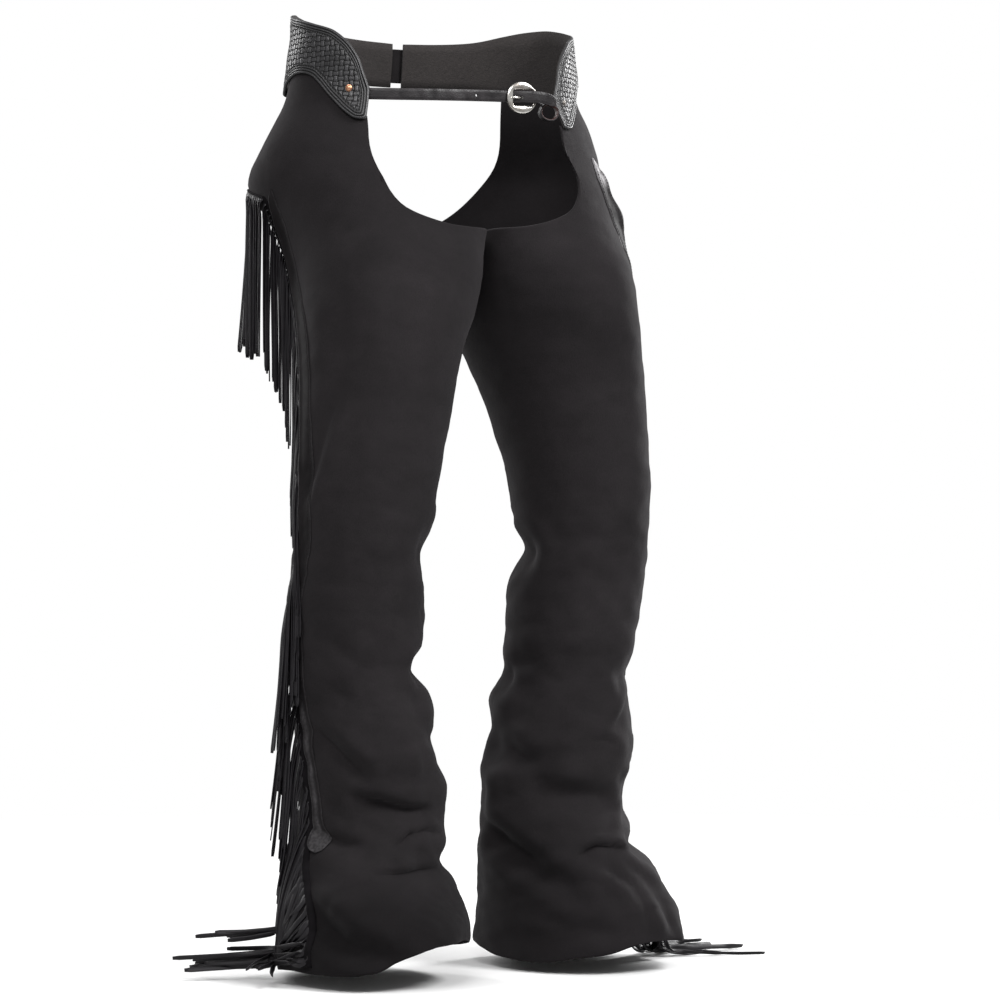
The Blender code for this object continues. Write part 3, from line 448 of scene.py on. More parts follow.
def check_outward(obj):
    """Turns a closed mesh's faces outwards if they point in."""
    mesh = obj.data
    v = np.empty(len(mesh.vertices) * 3)
    mesh.vertices.foreach_get("co", v)
    v = v.reshape(-1, 3)
    mesh.calc_loop_triangles()
    t = np.empty(len(mesh.loop_triangles) * 3, np.int32)
    mesh.loop_triangles.foreach_get("vertices", t)
    t = t.reshape(-1, 3)
    c = v.mean(0)
    vol = np.einsum("ij,ij->i", v[t[:, 0]] - c, np.cross(v[t[:, 1]] - c, v[t[:, 2]] - c)).sum()
    if vol < 0:
        mesh.flip_normals()


def sharp(obj, degrees=40):
    """Keeps edges crisp where faces meet at more than this angle."""
    obj.data.set_sharp_from_angle(angle=math.radians(degrees))


# ------------------------------------------------------------------ materials
class Nodes:
    """Short way to write a material's nodes."""

    def __init__(self, name):
        self.mat = bpy.data.materials.new(name)
        self.mat.use_nodes = True
        self.tree = self.mat.node_tree
        self.bsdf = self.tree.nodes["Principled BSDF"]

    def add(self, kind, **inputs):
        node = self.tree.nodes.new(kind)
        for key, value in inputs.items():
            if hasattr(node, key) and key not in node.inputs:
                setattr(node, key, value)
                continue
            self.put(node.inputs[key.replace("_", " ") if key not in node.inputs else key], value)
        return node

    def put(self, socket, value):
        if isinstance(value, bpy.types.NodeSocket):
            self.tree.links.new(value, socket)
        else:
            socket.default_value = value

    def coords(self, scale=(1, 1, 1)):
        tc = self.tree.nodes.new("ShaderNodeTexCoord")
        m = self.tree.nodes.new("ShaderNodeMapping")
        m.inputs["Scale"].default_value = scale
        self.tree.links.new(tc.outputs["Object"], m.inputs["Vector"])
        return m.outputs["Vector"]

    def noise(self, vector, scale, detail=2.0, rough=.5, distortion=0.0):
        n = self.tree.nodes.new("ShaderNodeTexNoise")
        self.tree.links.new(vector, n.inputs["Vector"])
        n.inputs["Scale"].default_value = scale
        n.inputs["Detail"].default_value = detail
        n.inputs["Roughness"].default_value = rough
        n.inputs["Distortion"].default_value = distortion
        return n.outputs["Fac"]

    def math(self, op, a, b=0.0, clamp=False):
        n = self.tree.nodes.new("ShaderNodeMath")
        n.operation = op
        n.use_clamp = clamp
        self.put(n.inputs[0], a)
        self.put(n.inputs[1], b)
        return n.outputs[0]

    def spread(self, value, lo, hi, to_lo, to_hi):
        n = self.tree.nodes.new("ShaderNodeMapRange")
        self.put(n.inputs["Value"], value)
        for key, v in (("From Min", lo), ("From Max", hi), ("To Min", to_lo), ("To Max", to_hi)):
            n.inputs[key].default_value = v
        return n.outputs["Result"]

    def mix(self, fac, a, b, kind="MIX"):
        n = self.tree.nodes.new("ShaderNodeMix")
        n.data_type = "RGBA"
        n.blend_type = kind
        self.put(n.inputs["Factor"], fac)
        self.put(n.inputs["A"], a)
        self.put(n.inputs["B"], b)
        return next(o for o in n.outputs if o.type == "RGBA")

    def attr(self, name):
        n = self.tree.nodes.new("ShaderNodeAttribute")
        n.attribute_name = name
        return n.outputs["Fac"]

    def bump(self, height, strength, distance, normal=None):
        n = self.tree.nodes.new("ShaderNodeBump")
        n.inputs["Strength"].default_value = strength
        n.inputs["Distance"].default_value = distance
        self.put(n.inputs["Height"], height)
        if normal is not None:
            self.put(n.inputs["Normal"], normal)
        return n.outputs["Normal"]

    def finish(self, colour=None, rough=None, normal=None, **fixed):
        if colour is not None:
            self.put(self.bsdf.inputs["Base Color"], colour)
        if rough is not None:
            self.put(self.bsdf.inputs["Roughness"], rough)
        if normal is not None:
            self.put(self.bsdf.inputs["Normal"], normal)
        for key, value in fixed.items():
            self.bsdf.inputs[key.replace("_", " ")].default_value = value
        return self.mat


def rgb(r, g, b):
    return (r, g, b, 1.0)


def suede_material(name, dark, light, bump=.55):
    m = Nodes(name)
    v = m.coords()
    big = m.noise(v, 9.0, 3.0, .55, .4)
    mid = m.noise(v, 60.0, 3.0, .55, .6)
    nap = m.noise(m.coords((1, 1, .45)), 900.0, 2.0, .6)
    fine = m.noise(v, 2600.0, 2.0, .6)
    tone = m.math("ADD", m.math("MULTIPLY", big, .70), m.math("MULTIPLY", mid, .34))
    tone = m.math("ADD", tone, m.math("MULTIPLY", nap, .25))
    tone = m.spread(tone, .44, .84, 0.0, 1.0)
    colour = m.mix(tone, dark, light)
    grit = m.spread(fine, .3, .7, .78, 1.22)
    g = m.tree.nodes.new("ShaderNodeCombineColor")
    for k in range(3):
        m.put(g.inputs[k], grit)
    colour = m.mix(1.0, colour, g.outputs[0], "MULTIPLY")
    place = m.tree.nodes.new("ShaderNodeSeparateXYZ")
    m.tree.links.new(v, place.inputs[0])
    # painted shade: from about z -.74 down, with a ragged edge, the suede is darkened to .42 of its colour on the right
    # leg and .74 on the left
    painted_hem_shade = m.mix(m.spread(place.outputs["X"], -.02, .02, 0.0, 1.0), rgb(.42, .41, .42), rgb(.74, .73, .74))
    drop = m.math("ADD", place.outputs["Z"], m.math("MULTIPLY", m.noise(v, 14.0, 2.0), .10))
    colour = m.mix(m.spread(drop, -.805, -.735, 1.0, 0.0), colour, m.mix(1.0, colour, painted_hem_shade, "MULTIPLY"))
    h = m.math("ADD", m.math("MULTIPLY", nap, .6), m.math("MULTIPLY", fine, .4))
    n1 = m.bump(h, bump, .0005)
    n2 = m.bump(mid, .25, .0012, n1)
    return m.finish(colour, m.spread(mid, .3, .7, .86, .98), n2, Specular_IOR_Level=.14, Sheen_Weight=.05,
                    Sheen_Roughness=.45, Sheen_Tint=rgb(.82, .78, .82))


def leather_material(name, dark, light, rough=(.38, .56), grain=1400.0, depth=.00022, wear_and_highlight=None, spec=.45, coat=0.0, flesh=None):
    """Grain leather: fine pebbled grain, blotchy dye and softly varying gloss."""
    m = Nodes(name)
    v = m.coords()
    cells = m.tree.nodes.new("ShaderNodeTexVoronoi")
    cells.inputs["Scale"].default_value = grain * .55
    m.tree.links.new(v, cells.inputs["Vector"])
    blotch = m.noise(v, 70.0, 4.0, .6, .5)
    fine = m.noise(v, grain, 3.0, .6)
    pore = m.math("ADD", m.math("MULTIPLY", cells.outputs["Distance"], .7), m.math("MULTIPLY", fine, .5))
    colour = m.mix(m.spread(blotch, .35, .68, 0.0, 1.0), dark, light)
    if flesh:
        colour = m.mix(m.attr("flesh"), colour, flesh)
    # lighter colour where the wear_and_highlight attribute is set: rubbed edges, and on the side strips a painted
    # highlight
    if wear_and_highlight:
        edge = m.attr("wear_and_highlight")
        edge = m.math("MULTIPLY", edge, m.spread(m.noise(v, 300.0, 2.0), .35, .65, .45, 1.0), clamp=True)
        colour = m.mix(edge, colour, wear_and_highlight)
        shine = m.math("MULTIPLY", edge, .25)
    n1 = m.bump(pore, .5, depth)
    n2 = m.bump(blotch, .25, .0008, n1)
    rough = m.spread(blotch, .3, .7, rough[0], rough[1])
    if wear_and_highlight:
        rough = m.math("SUBTRACT", rough, shine)
    return m.finish(colour, rough, n2, Specular_IOR_Level=spec, Coat_Weight=coat, Coat_Roughness=.25)


SUEDE_MAT = suede_material("black_suede", rgb(.0094, .0082, .0089), rgb(.0190, .0166, .0180))
SMOOTH_MAT = leather_material("smooth_black_leather", rgb(.0086, .0075, .0082), rgb(.0134, .0118, .0127), (.66, .80),
                              wear_and_highlight=rgb(.085, .081, .085), spec=.10)
# the left side strip's leather: its light colour is a little edge wear and a painted highlight on the strip's top end
TIP_MAT = leather_material("smooth_black_leather_wear_and_painted_highlight", rgb(.0086, .0075, .0082), rgb(.0134, .0118, .0127), (.62, .76),
                           wear_and_highlight=rgb(.26, .25, .26), spec=.14)
BAND_MAT = leather_material("fringe_band_black", rgb(.0042, .0037, .0043), rgb(.0078, .0068, .0080), (.74, .88), spec=.06)
FRINGE_MAT = leather_material("fringe_leather_black", rgb(.0058, .0050, .0062), rgb(.0115, .0100, .0120), (.42, .62), 1700.0,
                              wear_and_highlight=rgb(.026, .024, .028), spec=.28)
STRAP_MAT = leather_material("strap_leather_black", rgb(.0090, .0078, .0087), rgb(.0175, .0150, .0165), (.34, .54), 1200.0,
                             .0003, wear_and_highlight=rgb(.042, .037, .040), spec=.34, flesh=rgb(.058, .020, .016))


def tooled_material():
    m = Nodes("basket_tooled_leather")
    v = m.coords()
    h = m.attr("relief")
    inside = m.attr("flesh")
    blotch = m.noise(v, 90.0, 3.0, .6, .4)
    fine = m.noise(v, 1600.0, 3.0, .6)
    hair = m.noise(m.coords((1, 1, 3)), 260.0, 5.0, .7, 1.2)
    # painted light: the raised stamp faces are coloured light grey as a painted highlight, and the grooves near black
    # as painted shade
    tone = m.math("POWER", m.math("MULTIPLY", h, m.spread(m.noise(v, 34.0, 2.0, .5, .5), .35, .65, .66, 1.0), clamp=True), 2.1)
    colour = m.mix(tone, rgb(.0005, .0004, .0006), rgb(.0500, .0485, .0525))
    back = m.mix(m.spread(hair, .35, .65, 0.0, 1.0), rgb(.0160, .0138, .0134), rgb(.0340, .0292, .0284))
    colour = m.mix(inside, colour, back)
    n1 = m.bump(fine, .30, .00015)
    n2 = m.bump(m.math("MULTIPLY", hair, inside), .6, .0008, n1)
    rough = m.math("SUBTRACT", m.spread(fine, .3, .7, .80, .88), m.math("MULTIPLY", h, .50))
    rough = m.math("ADD", rough, m.math("MULTIPLY", inside, .45), clamp=True)
    return m.finish(colour, rough, n2, Specular_IOR_Level=.5)


TOOLED_MAT = tooled_material()


def metal_material(name, colour, dark, rough=(.14, .24), scale=60.0):
    m = Nodes(name)
    v = m.coords()
    cloud = m.noise(v, scale * 1.6, 2.0, .5, .3)
    scratch = m.noise(m.coords((1, 1, 14)), 700.0, 2.0, .6)
    c = m.mix(m.spread(cloud, .42, .66, 0.0, .8), colour, dark)
    n = m.bump(scratch, .05, .00004)
    return m.finish(c, m.spread(cloud, .3, .7, rough[0], rough[1]), n, Metallic=1.0)


NICKEL_MAT = metal_material("nickel_silver_worn", rgb(.82, .80, .76), rgb(.40, .35, .31))
RIVET_MAT = metal_material("nickel_rivet_dull", rgb(.22, .205, .19), rgb(.09, .08, .075), (.35, .50))
COPPER_MAT = metal_material("copper_burnished", rgb(.78, .40, .24), rgb(.42, .20, .12), (.26, .42))
THREAD_MAT = leather_material("black_waxed_thread", rgb(.0090, .0082, .0088), rgb(.0160, .0146, .0154), (.6, .8), 3000.0, .0001, spec=.2)


# ------------------------------------------------------------------ leg shells
NI, N_TOP, N_LOW = 150, 44, 196


def panel_columns(side):
    """Angle at the top, height of the top edge and angle lower down, for each of the shell's columns."""
    seam = SEAM[side][0][1]
    rows = []
    for top, z, low in EDGE[side]:
        if z is None:
            deg = float(hip_angle(top))
            z = float(yoke_low(side, deg)) + .003 + .009 * float(ease(10, 18, deg - TIP[side]))
        rows.append((top, z, low))
    r = np.array(rows)
    step = np.hypot(np.diff(r[:, 0]) * .0016, np.diff(r[:, 1]))
    c = np.concatenate([[0], np.cumsum(step)])
    fine = np.linspace(0, c[-1], 600)
    keyed = [(c[k], *r[k]) for k in range(len(r))]
    F = np.stack([curve(keyed, fine, k) for k in (1, 2, 3)], -1)
    n_a = round(NI * (seam - r[0, 2]) / 360)
    n_c = round(NI * (r[-1, 2] - (seam - 360)) / 360)
    n_b = NI - n_a - n_c
    t = np.arange(n_a) / n_a
    A_top = seam + (r[0, 0] - seam) * t
    A_low = A_top + (r[0, 2] - r[0, 0]) * t
    # spread the free edge's columns by both its own length and the angle lower down
    m = .5 * fine / fine[-1] + .5 * (F[0, 2] - F[:, 2]) / (F[0, 2] - F[-1, 2])
    pick = np.interp(np.arange(n_b) / n_b, m, fine)
    B = np.stack([curve(keyed, pick, k) for k in (1, 2, 3)], -1)
    t = np.arange(n_c) / n_c
    C_top = r[-1, 0] + (seam - 360 - r[-1, 0]) * t
    C_low = C_top + (r[-1, 2] - r[-1, 0]) * (1 - t)
    top = np.concatenate([A_top, B[:, 0], C_top])
    low = np.concatenate([A_low, B[:, 2], C_low])
    deg = hip_angle(top)
    under = yoke_low(side, deg) + .003 + .009 * ease(10, 18, deg - TIP[side])
    edge = np.concatenate([under[:n_a], B[:, 1], under[n_a + n_b:]])
    return top, edge, low


def leg_grid(side):
    top, edge, low = panel_columns(side)
    seam = SEAM[side][0][1]
    f = np.linspace(0, 1, N_TOP + 1)[:-1, None] ** 1.05
    z_top = edge[None] + (-.205 - edge[None]) * f
    z_low = np.repeat(np.linspace(-.205, -.930, N_LOW)[:, None], NI, axis=1)
    z = np.concatenate([z_top, z_low])
    start = edge[None]
    a = top[None] + (low - top)[None] * ease(0, .10, start - z)
    swing = curve(SEAM[side], z, 1) - seam
    a = a + swing * .5 * (1 + np.cos(np.radians(seam - top)))[None]
    zz = hem_z(side, a, z)
    zz = zz + .0012 * ease(-.88, -.93, z) * np.sin(np.radians(a * 5 + 40 * side))
    return a, zz


LEGS = {}
for side in SIDES:
    a, z = leg_grid(side)
    outer, N = skin(side, a, z)
    inner = outer - N * SUEDE
    # the cut edge is a little thinner and softly rounded
    outer[0] = outer[1] * .35 + outer[0] * .65 - N[0] * .0006
    outer[-1] -= N[-1] * .0006
    name = "leg_shell_" + WORD[side]
    obj = shell(name, outer, inner, SUEDE_MAT, wrap_u=True, flip=side < 0)
    d1 = np.roll(outer, -1, 1) - outer
    d2 = outer[1:] - outer[:-1]
    around = float(np.linalg.norm(d1, axis=-1).sum(1).max())
    down = float(np.linalg.norm(d2, axis=-1).sum(0).max())
    LEGS[side] = (obj, around, down)
    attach(obj, "root")
    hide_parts("leg_" + WORD[side])


# ------------------------------------------------------------------ smooth strip over each zip
def placket(side):
    """Lies on the outer side beside the seam; pointed at the hip, rounded at the end above the ankle."""
    z0, z1 = PLACKET_TOP[side], PLACKET_LOW
    nv, nu = 300, 15
    v = np.linspace(0, 1, nv)
    z = z0 + (z1 - z0) * v
    dist = np.abs(z - z0)
    tail = np.abs(z - z1)
    share = np.minimum(1, (dist / (.038 if side < 0 else .022)) ** .62)
    r_end = .0125
    end = np.where(tail < r_end, np.sqrt(np.clip(1 - (1 - tail / r_end) ** 2, 0, 1)), 1)
    swell = 1 + .18 * np.exp(-((z - (z1 + .014)) / .014) ** 2)
    half = PLACKET_W * .485 * share * np.maximum(end, .02) * swell
    if side < 0:     # drawn together above its wide end
        half = half * (1 - .42 * ease(-.56, -.64, z) * ease(-.782, -.764, z))
    u = np.linspace(-1, 1, nu)
    rr = .5 * (curve(LEG, z, 3) + curve(LEG, z, 4))
    rr = rr + (.108 - rr) * ease(-.20, -.12, z)
    seam = curve(SEAM[side], z, 1)
    mid = seam - np.degrees(PLACKET_W * .5 / rr)
    phi = mid[:, None] - np.degrees(half[:, None] * u[None] / rr[:, None])
    Z = np.repeat(z[:, None], nu, 1)
    # the flap's edge away from the seam lifts a little here and there, most at the lower end
    lift = .0016 * ease(-.30, -.85, u)[None] * ease(0, .02, dist)[:, None] + .0008 * (tail < .02)[:, None] \
        * ease(.02, 0, tail)[:, None] + .0004 * (.5 + .5 * np.sin(Z * 61 + side)) * np.clip(u, 0, 1)[None] ** 2
    if side > 0:
        flap = np.exp(-((z - -.116) / .024) ** 2) * .0082 + np.exp(-((z - -.074) / .011) ** 2) * .0030
        lift = lift + flap[:, None] * ((1 - u[None]) / 2) ** 1.6
    base, N = skin(side, phi, Z, .0002 + lift)
    crown = TRIM * (1 - .30 * np.clip(-u, 0, 1)[None] ** 6 - .75 * np.clip(u, 0, 1)[None] ** 4)
    outer = base + N * crown[..., None]
    # edges and the rounded end are lighter: edge wear, partly painted highlight
    wear_and_highlight = np.clip((np.abs(u)[None] - .72) / .28, 0, 1) * np.ones_like(Z) + .8 * (tail < .004)[:, None]
    obj = shell("side_strip_" + WORD[side], outer, base, SMOOTH_MAT if side < 0 else TIP_MAT, flip=side > 0)
    # left strip: a painted highlight over its top end, with only a little edge wear
    if side > 0:
        painted_leaf_highlight = ease(-.088, -.070, Z)
        wear_and_highlight = np.maximum(wear_and_highlight * .22, painted_leaf_highlight)
    else:
        # right strip: a painted highlight line down the strip from about z -.62 to -.77, the seam-side edge lighter
        # than the other as painted highlight, and the rounded end lighter as painted highlight
        painted_highlight_line = ease(-.59, -.66, Z) * ease(-.785, -.765, Z) * np.exp(-((u[None] + .15) / .45) ** 2)
        wear_and_highlight = np.maximum(np.maximum(wear_and_highlight * (.30 + .70 * (u[None] < 0)), painted_highlight_line * (.75 + .25 * np.sin(Z * 210))),
                          .62 * ease(-.768, -.780, Z))
    attribute(obj, "wear_and_highlight", np.concatenate([np.clip(wear_and_highlight, 0, 1).ravel()] * 2) * .8)
    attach(obj, "root")
    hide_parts("placket_" + WORD[side])
    # rows of stitches along both edges
    rows = []
    for sgn in (-1, 1):
        f = np.interp(np.arange(0, 1, .0042), np.linspace(0, 1, nv), np.arange(nv))
        keep = (half[f.astype(int)] > .007)
        col = (nu - 1) / 2 * (1 + sgn * (1 - .0026 / np.maximum(half[f.astype(int)], .004)))
        P = sample(outer, f, col)[keep]
        Nn = unit(sample(N, f, col))[keep]
        rows.append((P, Nn))
    return obj, rows


def sample(G, row, col):
    """Bilinear reading of a grid of points at fractional rows and columns."""
    r0 = np.clip(np.floor(row).astype(int), 0, G.shape[0] - 2)
    c0 = np.clip(np.floor(col).astype(int), 0, G.shape[1] - 2)
    fr, fc = (row - r0)[:, None], (col - c0)[:, None]
    return ((1 - fr) * (1 - fc) * G[r0, c0] + (1 - fr) * fc * G[r0, c0 + 1]
            + fr * (1 - fc) * G[r0 + 1, c0] + fr * fc * G[r0 + 1, c0 + 1])


def stitches(name, lines, length=.0024, radius=.00032):
    """Short rounded threads along lines of points with normals, as one mesh."""
    verts, faces = [], []
    k = 6
    ring_at = np.array([(-.5, .25), (-.38, .85), (0, 1.0), (.38, .85), (.5, .25)])
    for P, N in lines:
        if len(P) < 3:
            continue
        T = unit(np.gradient(P, axis=0))
        for p, n, t in zip(P[1:-1], N[1:-1], T[1:-1]):
            s = np.cross(t, n)
            base = len(verts)
            for x, r in ring_at:
                for q in range(k):
                    w = 2 * math.pi * q / k
                    verts.append(p + t * x * length + (s * math.cos(w) * 1.25 + n * math.sin(w)) * radius * r
                                 + n * radius * .35 * (1 - 2.2 * x * x))
            m = len(ring_at)
            for g in range(m - 1):
                for q in range(k):
                    a, b = base + g * k + q, base + g * k + (q + 1) % k
                    faces.append((a, b, b + k, a + k))
            faces.append(tuple(base + q for q in range(k))[::-1])
            faces.append(tuple(base + (m - 1) * k + q for q in range(k)))
    mesh = bpy.data.meshes.new(name)
    mesh.from_pydata([tuple(v) for v in verts], [], faces)
    mesh.shade_smooth()
    obj = bpy.data.objects.new(name, mesh)
    bpy.context.scene.collection.objects.link(obj)
    mesh.materials.append(THREAD_MAT)
    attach(obj, "root")
    return obj


STITCH_LINES = {s: [] for s in SIDES}
PLACKETS = {}
for side in SIDES:
    PLACKETS[side], rows = placket(side)
    STITCH_LINES[side] += rows


# ------------------------------------------------------------------ fringe
def plan_table(side):
    """Radius of the leg's outer face round its centre, by height and direction."""
    zs = np.arange(-.935, -.03, .005)
    phi = np.arange(-180, 180, 3.0)
    A, Z = np.meshgrid(phi, zs)
    P, _ = skin(side, A, Z, 0.0, False)
    c = np.stack([side * curve(LEG, zs, 1), curve(LEG, zs, 2)], -1)
    d = P[..., :2] - c[:, None]
    th = np.arctan2(d[..., 1], d[..., 0])
    rad = np.hypot(d[..., 0], d[..., 1])
    grid = np.linspace(-math.pi, math.pi, 181)
    out = np.empty((len(zs), len(grid)))
    for k in range(len(zs)):
        o = np.argsort(th[k])
        out[k] = np.interp(grid, th[k][o], rad[k][o], period=2 * math.pi)
    return zs, grid, out, c


def push_clear(tab, P, clear):
    """Moves points outwards in plan until they are clear of the leg."""
    zs, grid, R, c = tab
    z = np.clip(P[:, 2], zs[0], zs[-1])
    f = (z - zs[0]) / (zs[1] - zs[0])
    k = np.clip(f.astype(int), 0, len(zs) - 2)
    t = f - k
    cx = np.stack([np.interp(z, zs, c[:, 0]), np.interp(z, zs, c[:, 1])], -1)
    d = P[:, :2] - cx
    th = np.arctan2(d[:, 1], d[:, 0])
    rad = np.hypot(d[:, 0], d[:, 1])
    g = (th + math.pi) / (2 * math.pi) * (len(grid) - 1)
    m = np.clip(g.astype(int), 0, len(grid) - 2)
    q = g - m
    need = ((1 - t) * ((1 - q) * R[k, m] + q * R[k, m + 1]) + t * ((1 - q) * R[k + 1, m] + q * R[k + 1, m + 1])) + clear
    gain = np.maximum(0, need - rad)
    gain = np.convolve(np.pad(gain, 2, mode="edge"), np.ones(5) / 5, "valid")
    gain = np.maximum(gain, np.maximum(0, need - rad) * .9)
    P = P.copy()
    P[:, :2] += d / np.maximum(rad, 1e-6)[:, None] * gain[:, None]
    return P


def ribbons(name, strips, mat):
    """Flat strips with softly rounded edges, joined in one mesh. Each is (points, width directions, width, thickness)."""
    verts, faces, wear_and_highlight = [], [], []
    base = 0
    for P, W, width, thick in strips:
        n = len(P)
        T = unit(np.gradient(P, axis=0))
        W = unit(W - T * np.sum(W * T, -1, keepdims=True))
        N = np.cross(T, W)
        section = [(-.5, .12), (-.40, .5), (.40, .5), (.5, .12), (.5, -.12), (.40, -.5), (-.40, -.5), (-.5, -.12)]
        k = len(section)
        w = np.full(n, width)
        w[-1] *= .72
        block = np.stack([P + W * (a * w)[:, None] + N * (b * thick) for a, b in section], 1)
        verts.append(block.reshape(-1, 3))
        wear_and_highlight.append(np.tile([.9, .25, .25, .9, .9, .25, .25, .9], n))
        I, Q = np.meshgrid(np.arange(n - 1), np.arange(k), indexing="ij")
        a = base + I * k + Q
        b = base + I * k + (Q + 1) % k
        faces.append(np.stack([a, b, b + k, a + k], -1).reshape(-1, 4))
        ends = [tuple(base + q for q in range(k))[::-1], tuple(base + (n - 1) * k + q for q in range(k))]
        faces.append(ends)
        base += n * k
    polys = []
    for f in faces:
        polys += [tuple(int(x) for x in g) for g in (f.tolist() if isinstance(f, np.ndarray) else f)]
    mesh = bpy.data.meshes.new(name)
    mesh.from_pydata([tuple(v) for v in np.concatenate(verts)], [], polys)
    mesh.shade_smooth()
    obj = bpy.data.objects.new(name, mesh)
    bpy.context.scene.collection.objects.link(obj)
    mesh.materials.append(mat)
    attribute(obj, "wear_and_highlight", np.concatenate(wear_and_highlight) * .55)
    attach(obj, "root")
    return obj


def along(points, length, steps):
    """Evenly spaced points on a smooth curve through a few points, as far as this length."""
    C = np.asarray(points, float)
    chord = np.concatenate([[0], np.cumsum(np.linalg.norm(np.diff(C, axis=0), axis=1))])
    keyed = [(chord[k], *C[k]) for k in range(len(C))]
    x = np.linspace(0, chord[-1], 160)
    P = np.stack([curve(keyed, x, k) for k in (1, 2, 3)], -1)
    s = np.concatenate([[0], np.cumsum(np.linalg.norm(np.diff(P, axis=0), axis=1))])
    e = np.linspace(0, min(length, s[-1]), steps)
    return np.stack([np.interp(e, s, P[:, k]) for k in range(3)], -1)


# how far the strips drift out from straight down by their tips, by the height they hang from
DRIFT = [(-.09, .000), (-.30, .000), (-.44, .001), (-.48, .007), (-.53, .015), (-.60, .017), (-.68, .014), (-.76, .012),
         (-.91, .008)]
UP = np.array([0, 0, 1.0])


